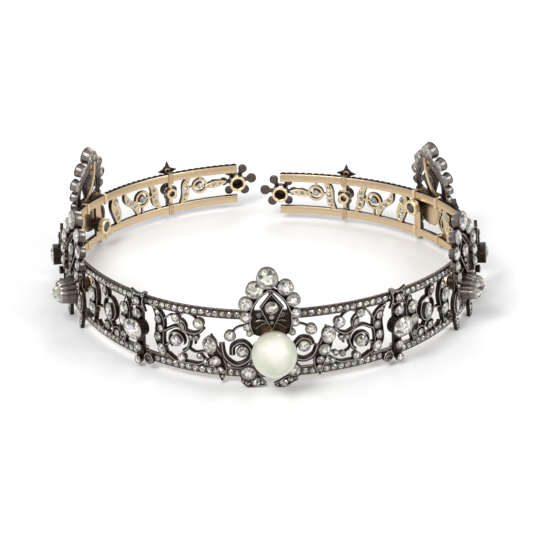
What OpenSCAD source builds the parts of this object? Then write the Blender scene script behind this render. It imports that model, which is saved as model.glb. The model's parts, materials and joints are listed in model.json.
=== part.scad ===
// Diadem: an open ring of pierced, stone-set sections with five crests.
// The front faces -Y, +Z is up, and the leaf tips under the crests stand on z = 0.
// Places on the band are given as s, the length along the band from the front centre,
// v, the height above the lower rail's underside, and w, the reach outwards from the rails' face.

/* [Band] */
// Height of the band at the front
band_h = 24.2; // [22:0.1:26]
// Height that the band loses from front to back
band_taper = 8.4; // [6:0.1:9]
// How far the lower rail stands out past the upper one
band_lean = 0.6; // [0.4:0.1:0.8]
// Distance from the ring's centre to its front face
front_y = 72.8; // [72:0.1:74]
// Height of each rail
rail_h = 3.0; // [2.8:0.1:3.2]
// Thickness of each rail, front to back
rail_t = 1.8; // [1.6:0.1:2]
// Gap between band sections, under the connectors' sleeves
section_gap = 0.2; // [0.1:0.05:0.3]

/* [Feet] */
// Height of the lower rail above the leaf tips
foot = 2.6; // [2.4:0.1:3]

/* [Scrollwork] */
// Width of a scroll ribbon
ribbon_w = 1.0; // [0.8:0.1:1.2]
// Thickness of a scroll ribbon
ribbon_t = 1.2; // [1:0.1:1.4]
// Rim of a stone setting
rim = 0.35; // [0.3:0.05:0.4]
// Clearance between a stone and its setting
seat_gap = 0.12; // [0.1:0.01:0.15]

/* [Pearl] */
// Diameter of the pearl
pearl_d = 15.2; // [13:0.1:15.6]
// Reach of the pearl's centre past the rails
pearl_w = 8.8; // [8.6:0.1:9.2]

/* [Crests] */
// Width of the metal ring that backs an arch
arch_w = 2.6; // [2.4:0.1:3]
// Base radius of a fluted setting
flute_base_r = 5.2; // [5:0.1:5.5]
// Mouth radius of a fluted setting
flute_mouth_r = 4.0; // [3.9:0.1:4.4]
// Number of ribs round a fluted setting
flute_ribs = 12; // [10:1:14]

/* [Ends] */
// Outer radius of an end tube
tube_r = 3.1; // [2.9:0.1:3.3]
// Bore radius of an end tube
tube_bore_r = 2.1; // [1.9:0.1:2.3]
// Length of an end tube
tube_len = 3.6; // [3:0.1:4]

/* [Hidden] */
$fn = 48;

right = 1;
left = -1;
silver = "#6f6960";
gold = "#d9b27c";
stone_white = "#dfe4e6";
pearl_cream = "#efeadb";

// Bends of each side from the front centre: [length along the band, bend radius]
bends_right = [[44.5, 72.5], [37, 76.5], [28.5, 72], [41, 53.3], [37.5, 76], [25.5, 87]];
bends_left = [[47.5, 62], [41.5, 96], [27, 95], [35, 55.5], [39, 70], [27.5, 85]];
// Index in the bends where each motif stands
connector_front = 1;
crest_side = 2;
connector_side = 3;
crest_back = 4;
connector_back = 5;
band_end = 6;

// Middle of the whole piece in plan, from the centre that the bends are drawn about
middle = [0.74, -6.741];

deg = 180 / PI;
tilt = atan(band_taper / (2 * front_y));
lean = atan(band_lean / band_h);

function bends(side) = side > 0 ? bends_right : bends_left;
function run_to(side, k) = k <= 0 ? 0 : bends(side)[k - 1][0] + run_to(side, k - 1);
function bend_at(side, s, k = 0) =
    k >= len(bends(side)) - 1 || s <= run_to(side, k + 1) ? k : bend_at(side, s, k + 1);
function bend_head(side, k) =
    k <= 0 ? 0 : bend_head(side, k - 1) + deg * bends(side)[k - 1][0] / bends(side)[k - 1][1];
function bend_centre(side, k) =
    k <= 0 ? [0, bends(side)[0][1] - front_y]
           : let (h = bend_head(side, k))
             bend_centre(side, k - 1) + (bends(side)[k - 1][1] - bends(side)[k][1]) * [sin(h), -cos(h)];
function head(side, s) =
    let (k = bend_at(side, s)) bend_head(side, k) + deg * (s - run_to(side, k)) / bends(side)[k][1];
function plan(side, s, out) =
    let (k = bend_at(side, s), h = head(side, s))
    bend_centre(side, k) + (bends(side)[k][1] + out) * [sin(h), -cos(h)];
function height(side, s) = band_h - band_taper * (plan(side, s, 0)[1] + front_y) / (2 * front_y);

// Frames on the band

// Moves a side's shapes so that the origin lies under the middle of the whole piece.
module on_side(side) {
    translate([-middle[0], -middle[1], 0]) mirror([side > 0 ? 0 : 1, 0, 0]) children();
}

// Draws its children in the face of the band at s: x runs along the band, y up and z outwards.
module on_band(side, s, v = 0, w = 0, turn = 0) {
    p = plan(side, s, band_lean);
    on_side(side)
        translate([p[0], p[1], foot])
            rotate([90 - lean, 0, head(side, s)])
                translate([0, v, w])
                    rotate([0, 0, turn])
                        children();
}

// The plane of the upper rail's top, which falls towards the back.
module on_upper_rail(side) {
    on_side(side)
        translate([0, -front_y, foot + band_h])
            rotate([-tilt, 0, 0])
                translate([0, front_y, 0])
                    children();
}

// Plain shapes

module slab(z0, z1) {
    translate([0, 0, z0]) linear_extrude(z1 - z0) children();
}

module ribbon_arc(r, from, to, z0 = -1.3, wide = ribbon_w, thick = ribbon_t) {
    translate([0, 0, z0])
        rotate([0, 0, from])
            rotate_extrude(angle = to - from)
                translate([r - wide / 2, 0]) square([wide, thick]);
}

function oval(wide, high, n = 20) =
    [for (i = [0:n - 1]) let (a = 360 * i / n) [wide / 2 * cos(a), high / 2 * sin(a)]];

function leaf_half(t, wide) = 0.25 + (wide / 2 - 0.25) * pow(sin(180 * t), 0.8);
function leaf_outline(long, wide, curl, n = 8) =
    let (
        spine = [for (i = [0:n]) [curl * sin(360 * i / n), long * (i / n - 0.5)]],
        half = [for (i = [0:n]) leaf_half(i / n, wide)]
    )
    concat(
        [for (i = [0:n]) spine[i] - [half[i], 0]],
        [for (i = [n:-1:0]) spine[i] + [half[i], 0]]
    );

module leaf(long, wide, curl, z0 = -1.4, z1 = 0.2) {
    slab(z0, z1) polygon(leaf_outline(long, wide, curl));
}

// A smooth line through the points, as a strip of even width
function bend_point(a, b, c, d, t) =
    (2 * b + (c - a) * t + (2 * a - 5 * b + 4 * c - d) * t * t + (3 * b - a - 3 * c + d) * t * t * t) / 2;
function smooth_line(p, n) =
    let (last = len(p) - 1)
    concat(
        [for (i = [0:last - 1]) for (k = [0:n - 1])
            bend_point(p[max(i - 1, 0)], p[i], p[i + 1], p[min(i + 2, last)], k / n)],
        [p[last]]
    );
function across(line, i) =
    let (d = line[min(i + 1, len(line) - 1)] - line[max(i - 1, 0)])
    [-d[1], d[0]] / norm(d);
function strip_outline(points, wide) =
    let (line = smooth_line(points, len(points) > 2 ? 4 : 1), last = len(line) - 1)
    concat(
        [for (i = [0:last]) line[i] - wide / 2 * across(line, i)],
        [for (i = [last:-1:0]) line[i] + wide / 2 * across(line, i)]
    );

module strip(points, wide, z0 = -1.3, z1 = 0.3) {
    slab(z0, z1) polygon(strip_outline(points, wide));
}

// The outer form of a setting, round and widening to its mouth, or oval. Its seat is cut later.
module setting(wide, high, z0, z1) {
    if (wide == high)
        translate([0, 0, z0]) cylinder(h = z1 - z0, r1 = wide * 0.4, r2 = wide / 2);
    else
        slab(z0, z1) polygon(oval(wide, high));
}

module seat(wide, high, z1) {
    depth = seat_depth(high);
    if (wide == high)
        translate([0, 0, z1 - depth]) cylinder(h = depth + 1, r = wide / 2 - rim);
    else
        slab(z1 - depth, z1 + 1) polygon(oval(wide - 2 * rim, high - 2 * rim));
}

function seat_depth(d) = 0.5 + d * 0.08;
// Reach of the band's own settings past the rails' face
mouth_w = 1.0;

// An eight-sided cut stone with a table, standing on z = 0.
module cut_stone(wide, high, tall) {
    girdle = 0.35 * tall;
    table = 0.55;
    ring = [for (i = [0:7]) [wide / 2 * cos(45 * i + 22.5), high / 2 * sin(45 * i + 22.5)]];
    points = concat(
        [for (p = ring) [p[0] * 0.7, p[1] * 0.7, 0]],
        [for (p = ring) [p[0], p[1], girdle]],
        [for (p = ring) [p[0] * table, p[1] * table, tall]]
    );
    faces = concat(
        [[for (i = [0:7]) i]],
        [for (k = [0, 8]) for (i = [0:7]) [k + i, k + 8 + i, k + 8 + (i + 1) % 8, k + (i + 1) % 8]],
        [[for (i = [7:-1:0]) 16 + i]]
    );
    polyhedron(points, faces);
}

// The stone of a setting with its mouth at z1.
module set_stone(wide, high, z1) {
    seat = z1 - seat_depth(high) + seat_gap;
    inset = 2 * (rim + seat_gap);
    translate([0, 0, seat])
        cut_stone(wide - inset, high - inset, seat_depth(high) + 0.12 * high);
}

// Patterns of the pierced sections. u is the way along the band from the motif that a pattern starts at.
// leaves: [u, v, length, width, curl, turn], where a length of 0 reaches from rail to rail
// scrolls: [u, v, radius, from angle, to angle]
// loops: [u, v, width, height] of open oval rings
// settings: [u, v, width, height, turn]
// strips: [width, [u, v] points of the smooth line that the strip follows]

front_right = [
    [[17.3, 8.4, 17.8, 4.8, -0.8, -9], [37.5, 11.9, 18.5, 4.4, 1.6, -19.5], [28.9, 17, 4.8, 2.6, 0, -20]],
    [[30.8, 9.5, 3, -60, 200]],
    [],
    [[19.2, 14, 5, 6, -8], [17.6, 8.9, 4.2, 4.2, 0], [16.1, 5.4, 2.8, 2.8, 0],
     [15.8, 2.6, 2.2, 2.2, 0], [23, 17.9, 4.1, 4.1, 0], [30.6, 19.8, 3.2, 3.2, 45],
     [28.9, 16.8, 2, 3, -20], [23.5, 12.3, 2, 2, 0], [25.6, 12.1, 2, 2, 0], [30.8, 9.5, 4.4, 4.4, 0],
     [28.9, 4.4, 3, 3, 0], [21.5, 6.9, 2.2, 2.2, 0], [23.9, 6.2, 2.2, 2.2, 0], [20.3, 4.4, 2.2, 2.2, 0],
     [37.8, 17.2, 2.8, 3, 0], [36.9, 14, 2.8, 3, 0], [37.6, 10.2, 3, 3.4, 0], [36.6, 6.1, 3.4, 4.4, -15]],
    [[0.7, [[23.8, 19.2], [24.8, 20.3], [26.9, 21.2], [29.6, 20.4]]],
     [0.7, [[31.8, 20.4], [33.4, 19.8], [34.8, 18.1], [36.2, 15.4]]],
     [1.3, [[21.4, 16.2], [23.2, 14.2], [25.7, 13.4], [28.6, 14.6]]],
     [1.3, [[35.6, 12.8], [34.4, 13.6], [31.5, 15], [28.3, 14.1], [26.4, 11.4], [27.2, 8.2], [28.8, 6.6]]],
     [1, [[34.4, 4.4], [30.7, 2.8], [26.5, 3.1], [22.6, 3.4], [18.4, 6.4]]],
     [0.8, [[18.6, 8], [21.5, 6.9], [23.9, 6.2], [26.2, 7], [27.4, 8.6]]],
     [0.9, [[36.8, 8], [35.2, 7.6], [33.6, 8.8]]],
     [0.8, [[24.6, 13.6], [24.6, 9.9]]], [1, [[30.8, 9.5], [33.6, 8.6]]]]
];

front_left = [
    [[18.5, 6.4, 17, 4.8, -0.8, -13], [39.5, 12.6, 19, 4.2, 1.5, -19], [30.4, 16.4, 4.8, 2.6, 0, -20]],
    [[32.8, 10.6, 3, -60, 200]],
    [],
    [[20.6, 11.2, 5, 6.2, -10], [18.5, 5.6, 3.6, 3.6, 0], [17, 2.4, 2.4, 2.4, 0],
     [24.4, 18.4, 4, 4, 0], [32.8, 19, 3.2, 3.2, 45], [30.4, 16.2, 2, 3, -20], [25.2, 13, 2, 2, 0],
     [27.3, 12.8, 2, 2, 0], [32.8, 10.6, 4.2, 4.2, 0], [30.8, 4.6, 3.2, 3.2, 0],
     [24.2, 6.5, 2.2, 2.2, 0], [22.2, 4.7, 2.2, 2.2, 0], [39.8, 16.8, 2.8, 3, 0],
     [38.8, 13.7, 2.6, 2.8, 0], [40.1, 10.4, 3, 3.2, 0], [38.5, 6, 3.2, 4.6, -15]],
    [[0.7, [[25.4, 19.6], [27, 20.8], [29.6, 21.1], [31.8, 19.8]]],
     [0.7, [[34, 19.4], [35.9, 18.9], [38.4, 16.6]]],
     [1.3, [[22.8, 16.8], [24.6, 14.9], [27.1, 14.3], [30, 14.8]]],
     [1.3, [[37.4, 13], [35.8, 14.2], [32.9, 15.6], [29.7, 14.5], [27.9, 12], [28.4, 8.8], [30.4, 7]]],
     [1, [[36.4, 4.8], [33, 3], [28.5, 3.2], [24.4, 3.4], [19.8, 6.2]]],
     [0.8, [[19.4, 7.6], [22.6, 8.1], [26, 7.3], [28.8, 8.6]]], [0.8, [[21.4, 3.6], [24.4, 7.4]]],
     [0.9, [[38.8, 8.2], [37.2, 7.8], [35.7, 9]]],
     [0.8, [[26.3, 14.4], [26, 10.4]]], [1, [[32.8, 10.6], [35.6, 9.7]]]]
];

side_front = [
    [[7.6, 12, 0, 4.8, 0.5, 6], [25.2, 11, 0, 5.2, 0.8, 2], [17.4, 18.4, 5.6, 3, 0, -20]],
    [[16, 5.4, 2.6, 20, 300], [11.4, 4.8, 2.2, 0, 250], [20.6, 5.6, 2.6, 200, 340]],
    [[15.2, 12.4, 8, 9.4]],
    [[7.4, 16, 4.6, 4.8, 0], [8, 11, 4, 4.2, 0], [15.2, 11.4, 4, 6.4, 0], [17.3, 18.7, 2.6, 3.2, 0],
     [25.4, 13.6, 5, 5.6, 0], [25.2, 8.4, 4.6, 4.6, 0], [16.2, 5.8, 3, 3, 0], [11.2, 4.9, 2.8, 2.8, 0]],
    [[0.8, [[19, 11], [23.2, 10]]], [0.8, [[8, 6], [11.4, 4.8]]], [0.8, [[16.2, 5.6], [18.6, 6.2]]],
     [0.8, [[26.8, 6.2], [32, 4]]]]
];

side_back = [
    [[11.8, 11, 0, 4.6, 0.8, -2], [21.4, 11, 0, 3.6, 0.6, -6]],
    [[15.6, 5.4, 2.6, 200, 520]],
    [[17, 12.2, 6.6, 9]],
    [[11.9, 13.6, 4.4, 5.2, 0], [11.6, 8.4, 4, 4, 0], [16.6, 11, 3.6, 6, 0], [15.8, 5.6, 3, 3, 0],
     [21.4, 14.6, 3, 4.6, 0]],
    [[0.8, [[11.4, 6.4], [13.8, 5.4]]], [0.8, [[15.8, 5.5], [18.2, 5.4]]]]
];

back_front = [
    [[8.4, 10, 0, 4.4, 0.9, 4], [24.6, 10, 0, 4.2, -0.9, -6]],
    [[15.8, 9.4, 3.6, 20, 340], [20.6, 6.4, 3.2, 200, 350]],
    [],
    [[8.6, 13.8, 3, 4.4, 0], [8.3, 7.6, 4, 4.6, 0], [15.2, 9.4, 4.2, 4.2, 0], [24.4, 12.6, 3.8, 4.4, 0],
     [24.2, 7.6, 3, 3.2, 0]],
    [[0.8, [[15.2, 9.4], [9.6, 8.6]]], [0.8, [[19.2, 9.2], [23.4, 10]]]]
];

back_back = [
    [[12.4, 9, 0, 4.4, 0.5, 8], [20.2, 8.4, 0, 3, 0.9, 28], [31, 8.6, 0, 3.2, -0.8, 24]],
    [[25.4, 8.8, 2.9, 0, 360]],
    [],
    [[12.2, 12, 3.4, 3.8, 0], [12.6, 7.6, 3, 3.4, 0], [25.4, 8.8, 3.6, 3.6, 0], [30.6, 8.8, 2.6, 3, 0]],
    [[0.8, [[21, 8.6], [23, 8.8]]], [0.8, [[25.4, 8.8], [30, 8.7]]], [0.8, [[25.4, 6], [25.4, 2.6]]]]
];

end_run = [
    [[6, 8.4, 0, 3.2, 0.8, -22], [17.4, 8.6, 8.6, 2.8, 0, 96]],
    [[11.6, 8.8, 2.7, 0, 360]],
    [],
    [[6.2, 8.8, 2.8, 3.2, 0], [11.6, 8.8, 3.2, 3.2, 0], [17, 8.7, 2.6, 2.6, 0]],
    [[0.8, [[7, 8.8], [11.6, 8.8]]], [0.8, [[11.6, 11.2], [11.6, 14.4]]]]
];

function leaf_reach(side, s, long) = long > 0 ? long : height(side, s) - 2 * rail_h + 2.2;
function leaf_level(side, s, v, long) = long > 0 ? v : height(side, s) / 2;

module panel(side, start, stretch, pattern) {
    for (row = pattern[0])
        let (s = start + row[0] * stretch)
            on_band(side, s, leaf_level(side, s, row[1], row[2]), 0, row[5])
                leaf(leaf_reach(side, s, row[2]), row[3], row[4]);
    for (row = pattern[1])
        on_band(side, start + row[0] * stretch, row[1]) ribbon_arc(row[2], row[3], row[4]);
    for (row = pattern[2])
        on_band(side, start + row[0] * stretch, row[1])
            slab(-1.3, 0.2) difference() {
                polygon(oval(row[2], row[3]));
                polygon(oval(row[2] - 2 * ribbon_w, row[3] - 2 * ribbon_w));
            }
    for (row = pattern[4])
        let (points = row[1], middle_u = (points[0][0] + points[len(points) - 1][0]) / 2)
            on_band(side, start + middle_u * stretch)
                strip([for (p = points) [(p[0] - middle_u) * stretch, p[1]]], row[0]);
    for (row = pattern[3])
        on_band(side, start + row[0] * stretch, row[1], 0, row[4]) setting(row[2], row[3], -1.2, mouth_w);
}

module panel_seats(side, start, stretch, pattern) {
    for (row = pattern[3])
        on_band(side, start + row[0] * stretch, row[1], 0, row[4]) seat(row[2], row[3], mouth_w);
}

module panel_stones(side, start, stretch, pattern) {
    for (row = pattern[3])
        on_band(side, start + row[0] * stretch, row[1], 0, row[4]) set_stone(row[2], row[3], mouth_w);
}

// Rails

module rail_piece(side, k, s0, s1, out, z0) {
    c = bend_centre(side, k);
    h = head(side, s0);
    r = bends(side)[k][1] + out;
    translate([c[0], c[1], z0])
        rotate([0, 0, h - 90])
            rotate_extrude(angle = deg * (s1 - s0) / bends(side)[k][1])
                translate([r - rail_t, 0]) square([rail_t, rail_h]);
}

module rails(side, k, s0, s1) {
    on_side(side) translate([0, 0, foot]) rail_piece(side, k, s0, s1, band_lean, 0);
    on_upper_rail(side) rail_piece(side, k, s0, s1, 0, -rail_h);
}

// A block round both rails: a collar, or the soldered seam where two bends of one section meet.
module round_rails(side, s, long, proud) {
    p = plan(side, s, 0);
    q = plan(side, s, band_lean);
    h = head(side, s);
    size = [long, rail_t + 2 * proud, rail_h + 2 * proud];
    on_upper_rail(side) translate([p[0], p[1], 0]) rotate([0, 0, h])
        translate([-long / 2, -proud, -rail_h - proud]) cube(size);
    on_side(side) translate([q[0], q[1], foot]) rotate([0, 0, h])
        translate([-long / 2, -proud, -proud]) cube(size);
}
module collars(side, s) { round_rails(side, s, 1.4, 0.45); }
module seam(side, s) { round_rails(side, s, seam_len, 0.02); }
seam_len = 0.6;
// What each rail falls short of a seam's middle
seam_gap = 0.1;

// Crest's place on the band: [side, s, u of the post, v of the post, v of the pearl or fluted setting,
// drop of the arch, inward lean of the arch]
crest_front_place = [right, 0, 0, 12.7, 12.4, 0, 0];
crest_right_place = [right, 81.5, 0, 12.6, 12.2, 2, 9];
crest_left_place = [left, 89, 0, 11, 9.8, 2, 9];
crest_back_right_place = [right, 151, 4.6, 12.4, 10, 3.4, 9];
crest_back_left_place = [left, 151, 1.6, 7, 9.4, 3.4, 9];

post_r = 1.6;
post_gap = 0.15;
post_z0 = -5.2;
boss_z0 = -3.1;

module at_post(place, w) {
    on_band(place[0], place[1]) translate([place[2], place[3], w]) children();
}

// An upright behind a crest's post, with a boss and a hole that the post passes through.
module post_plate(place) {
    top = height(place[0], place[1]) - rail_h / 2;
    on_band(place[0], place[1])
        slab(-1.7, plate_z1)
            translate([place[2] - plate_wide / 2, rail_h / 2]) square([plate_wide, top - rail_h / 2]);
    at_post(place, boss_z0) cylinder(h = plate_z1 - boss_z0, r = boss_r);
}
plate_z1 = -0.7;
plate_wide = 3.2;
boss_r = 2.7;

module post_hole(place) {
    at_post(place, boss_z0 - 1) cylinder(h = 4, r = post_r + post_gap);
}

// Band sections

module band_front() color(silver) {
    difference() {
        union() {
            rails(right, 0, seam_gap, run_to(right, 1) - section_gap / 2);
            rails(left, 0, seam_gap, run_to(left, 1) - section_gap / 2);
            seam(right, 0);
            panel(right, 0, 1, front_right);
            panel(left, 0, 1, front_left);
            post_plate(crest_front_place);
        }
        panel_seats(right, 0, 1, front_right);
        panel_seats(left, 0, 1, front_left);
        post_hole(crest_front_place);
    }
}

// The lengths that the shared patterns were drawn for
side_front_run = 37;
side_back_run = 27;
back_front_run = 35;
back_back_run = 37.5;
end_full_run = 25.5;

function stretch(side, k, drawn) = bends(side)[k][0] / drawn;

module band_side(side, place) color(silver) {
    difference() {
        union() {
            rails(side, 1, run_to(side, 1) + section_gap / 2, run_to(side, 2) - seam_gap);
            rails(side, 2, run_to(side, 2) + seam_gap, run_to(side, 3) - section_gap / 2);
            seam(side, run_to(side, 2));
            panel(side, run_to(side, 1), stretch(side, 1, side_front_run), side_front);
            panel(side, run_to(side, 2), stretch(side, 2, side_back_run), side_back);
            post_plate(place);
        }
        panel_seats(side, run_to(side, 1), stretch(side, 1, side_front_run), side_front);
        panel_seats(side, run_to(side, 2), stretch(side, 2, side_back_run), side_back);
        post_hole(place);
    }
}

module band_back(side, place) color(silver) {
    difference() {
        union() {
            rails(side, 3, run_to(side, 3) + section_gap / 2, run_to(side, 4) - seam_gap);
            rails(side, 4, run_to(side, 4) + seam_gap, run_to(side, 5) - section_gap / 2);
            seam(side, run_to(side, 4));
            panel(side, run_to(side, 3), stretch(side, 3, back_front_run), back_front);
            panel(side, run_to(side, 4), stretch(side, 4, back_back_run), back_back);
            post_plate(place);
            for (s = [-6, 6]) collars(side, place[1] + s);
            on_band(side, star_s, height(side, star_s) + 0.2) slab(-0.9, 0.6) polygon(star(2.8, 1.5));
        }
        panel_seats(side, run_to(side, 3), stretch(side, 3, back_front_run), back_front);
        panel_seats(side, run_to(side, 4), stretch(side, 4, back_back_run), back_back);
        post_hole(place);
    }
}

// Star plate that stands on the upper rail ahead of a back crest
star_s = 135;

tube_v = 8.4;
module band_end_part(side) color(silver) {
    end = run_to(side, 6);
    top = height(side, end) - rail_h / 2;
    difference() {
        union() {
            rails(side, 5, run_to(side, 5) + section_gap / 2, end);
            panel(side, run_to(side, 5), stretch(side, 5, end_full_run), end_run);
            on_band(side, end - 1) slab(-1.7, -0.1)
                translate([-0.9, rail_h / 2]) square([1.8, top - rail_h / 2]);
        }
        panel_seats(side, run_to(side, 5), stretch(side, 5, end_full_run), end_run);
        on_band(side, end, tube_v, -3) cylinder(h = 4, r = tube_r + post_gap);
    }
}

// Connectors

function star(reach, waist) =
    [for (i = [0:15]) let (r = i % 4 == 0 ? reach : i % 4 == 2 ? waist : (reach + waist) * 0.36)
        [r * cos(22.5 * i), r * sin(22.5 * i)]];

sleeve_gap = 0.12;
sleeve_wall = 0.5;
sleeve_len = 1.8;
stem_z0 = 0.2;
stem_z1 = 1.3;
stem_w = 3.4;
back_stem_w = 2.2;
// Reach of a star's points and of its waist
connector_star = [4.8, 2.1];

// A sleeve that the rail passes through, in the rail's own plane with its face at y = 0.
module sleeve(z0) {
    g = sleeve_gap;
    t = sleeve_gap + sleeve_wall;
    translate([-sleeve_len / 2, 0, z0])
        difference() {
            translate([0, -t, -t]) cube([sleeve_len, rail_t + 2 * t, rail_h + 2 * t]);
            translate([-1, -g, -g]) cube([sleeve_len + 2, rail_t + 2 * g, rail_h + 2 * g]);
        }
}

module sleeves(side, s) {
    p = plan(side, s, 0);
    q = plan(side, s, band_lean);
    h = head(side, s);
    on_upper_rail(side) translate([p[0], p[1], 0]) rotate([0, 0, h]) sleeve(-rail_h);
    on_side(side) translate([q[0], q[1], foot]) rotate([0, 0, h]) sleeve(0);
}

// Settings of a connector: [v from the lower rail, v from the upper rail's top, width, height,
// foot w, mouth w], where one of the two heights is undef
connector_settings = [
    [undef, -1.2, 2.9, 2.9, 0.6, 2.6],
    [undef, -6.0, 4, 4, 0.6, 2.7],
    [12.3, undef, 8.6, 7.4, 0.6, 4.8],
    [4.9, undef, 3.6, 3.2, 0.6, 2.7],
    [0.0, undef, 3, 3, 0.7, 2.9]
];
side_connector_settings = [
    [undef, -1.2, 2.9, 2.9, 0.6, 2.6],
    [undef, -3.9, 2.6, 2.6, 0.6, 2.6],
    [11.2, undef, 8.6, 7.4, 0.6, 4.8],
    [4.9, undef, 3.2, 3, 0.6, 2.7],
    [0.0, undef, 3, 3, 0.7, 2.9]
];
function settings_of(k) = k == connector_side ? side_connector_settings : connector_settings;
// Small disc beside a connector's foot: [u, v, radius]
connector_disc = [-4.4, 1.4, 2];
back_connector_settings = [
    [undef, 0.6, 2.9, 2.9, 0.6, 2.6],
    [8.4, undef, 5, 5, 0.6, 3.2]
];

function setting_v(row, h) = is_undef(row[0]) ? h + row[1] : row[0];

module connector(side, k) color(silver) {
    s = run_to(side, k);
    h = height(side, s);
    difference() {
        union() {
            sleeves(side, s);
            on_band(side, s) slab(stem_z0, stem_z1)
                translate([-stem_w / 2, 0.4]) square([stem_w, h - 0.8]);
            on_band(side, s, h - 1.2, 0, 45)
                slab(0.7, 1.8) polygon(star(connector_star[0], connector_star[1]));
            on_band(side, s, connector_disc[1], 0.7) {
                translate([connector_disc[0], 0, 0]) cylinder(h = 1.2, r = connector_disc[2]);
                translate([connector_disc[0], -0.7, 0]) cube([-connector_disc[0], 1.4, 0.6]);
            }
            for (row = settings_of(k))
                on_band(side, s, setting_v(row, h)) setting(row[2], row[3], row[4], row[5]);
        }
        for (row = settings_of(k))
            on_band(side, s, setting_v(row, h)) seat(row[2], row[3], row[5]);
    }
}

module back_connector(side) color(silver) {
    s = run_to(side, connector_back);
    h = height(side, s);
    difference() {
        union() {
            sleeves(side, s);
            on_band(side, s) slab(stem_z0, stem_z1)
                translate([-back_stem_w / 2, 0.4]) square([back_stem_w, h - 0.8]);
            on_band(side, s) slab(-1.4, 0.4)
                translate([-0.7, rail_h + 0.3]) square([1.4, h - 2 * rail_h - 0.6]);
            on_band(side, s, h + 0.6) slab(0.7, 1.7) polygon(star(3.8, 1.7));
            on_band(side, s, socket_v, -1.6)
                for (a = [45:90:315]) rotate([0, 0, a]) translate([1.7, 0, 0]) cylinder(h = 0.9, r = 1.5);
            on_band(side, s, socket_v, socket_z0) cylinder(h = 2, r = 2.1);
            for (row = back_connector_settings)
                on_band(side, s, setting_v(row, h)) setting(row[2], row[3], row[4], row[5]);
        }
        for (row = back_connector_settings)
            on_band(side, s, setting_v(row, h)) seat(row[2], row[3], row[5]);
        on_band(side, s, socket_v, socket_z0 - 1) cylinder(h = 2.6, r = socket_r);
    }
}
// The small socket on the inner side of a back connector
socket_v = 8.4;
socket_r = 1.2;
socket_z0 = -2.8;

// Crests

// Settings of an arch, drawn for the front: [u, v, diameter, mouth w]
arch_front = [
    [-0.9, 38.2, 7.4, 5.2], [-5.2, 33.9, 6.0, 4.6], [5.0, 34.6, 5.5, 4.6], [-8.2, 28.9, 4.9, 4.3],
    [7.6, 30.0, 4.7, 4.3], [-8.2, 24.0, 4.0, 4.0], [8.3, 25.0, 3.6, 4.0], [-7.8, 20.2, 2.9, 3.7],
    [8.0, 21.5, 2.9, 3.7], [-7.2, 17.8, 2.2, 3.5], [7.0, 17.9, 2.4, 3.5]
];
arch_side = [
    [0, 38.3, 6.8, 5.2], [-5.0, 34.3, 5.4, 4.7], [5.0, 34.3, 5.4, 4.7], [-7.6, 29.2, 4.9, 4.4],
    [7.6, 29.2, 4.9, 4.4], [-7.9, 24.5, 4.0, 4.1], [7.9, 24.5, 4.0, 4.1], [-7.3, 20.3, 3.6, 3.8],
    [7.3, 20.3, 3.6, 3.8]
];
// Half of the ring that backs an arch, and half of its lining:
// [radius, centre u, centre v, from angle, to angle]
arch_half = [14.2, -7.6, 24.8, -30, 56];
lining_half = [12.2, -5.3, 22.6, -25, 64];
lining_w = 1.4;
arch_z0 = 1.9;
arch_foot = 19;
arch_z1 = 2.9;
lining_z1 = 3.3;
kite = [[0.3, 32.0], [4.1, 27.1], [0.3, 18.9], [-3.4, 27.1]];
kite_setting = [0.3, 27.2, 4.6, 4.0];
bow_lobe = [3.3, 19.2];
bow_size = [7, 6];

// Stands an arch on its crest, lowered and leaning inwards about its foot.
module arch_frame(place) {
    translate([0, arch_foot - place[5], arch_z0])
        rotate([-place[6], 0, 0]) translate([0, -arch_foot, -arch_z0]) children();
}

module half_ring(row, wide, z1) {
    translate([row[1], row[2], 0]) ribbon_arc(row[0], row[3], row[4], arch_z0, wide, z1 - arch_z0);
}

module arch_and_kite(place, settings, skew) {
    arch_frame(place) {
        for (m = [0, 1]) mirror([m, 0, 0]) {
            half_ring(arch_half, arch_w, arch_z1);
            half_ring(lining_half, lining_w, lining_z1);
        }
        slab(arch_z0, arch_z1 - 0.1) polygon(kite);
        slab(arch_z0, arch_z1) translate([-0.6, 31.2]) square([1.4, 4.4]);
        translate([kite_setting[0], kite_setting[1], arch_z0])
            cylinder(h = kite_setting[3] - arch_z0, r1 = kite_setting[2] * 0.4, r2 = kite_setting[2] / 2);
        for (row = settings)
            translate([row[0], row[1], arch_z0])
                cylinder(h = row[3] - arch_z0, r1 = row[2] * 0.42, r2 = row[2] / 2);
        translate([-skew * brace_shift, brace_turn_v, 0])
            rotate([0, 0, -skew * brace_skew]) translate([0, -brace_turn_v, 0]) brace();
    }
}

// The bow plate behind the foot of the arch
module bow(drop) {
    for (m = [-1, 1])
        translate([m * bow_lobe[0], bow_lobe[1] - drop, 0])
            slab(crest_z0, crest_z1) polygon(oval(bow_size[0], bow_size[1], 16));
}

// A strip that stiffens the arch from behind, from its top to the bow plate
brace_top = [37, 2.1];
brace_foot = [19.6, 1.0];
brace_bow = 0.4;
brace_t = 0.7;
brace_w = 1.2;
// Lean of a side or back crest's brace, the height that it leans about, and its shift
brace_skew = 17;
brace_turn_v = 28;
brace_shift = 0.7;
function brace_line(t) =
    brace_foot + t * (brace_top - brace_foot) - [0, 4 * brace_bow * t * (1 - t)];
module brace() {
    n = 8;
    line = concat(
        [for (i = [0:n]) brace_line(i / n)],
        [for (i = [n:-1:0]) brace_line(i / n) + [0, brace_t]]
    );
    rotate([90, 0, 90]) translate([0, 0, -brace_w / 2]) linear_extrude(brace_w) polygon(line);
}

module arch_seats(place, settings) {
    arch_frame(place) {
        for (row = settings)
            translate([row[0], row[1], row[3] - seat_depth(row[2])])
                cylinder(h = seat_depth(row[2]) + 1, r = row[2] / 2 - rim);
        translate([kite_setting[0], kite_setting[1], kite_setting[3] - seat_depth(kite_setting[2])])
            cylinder(h = 2, r = kite_setting[2] / 2 - rim);
    }
}

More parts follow.
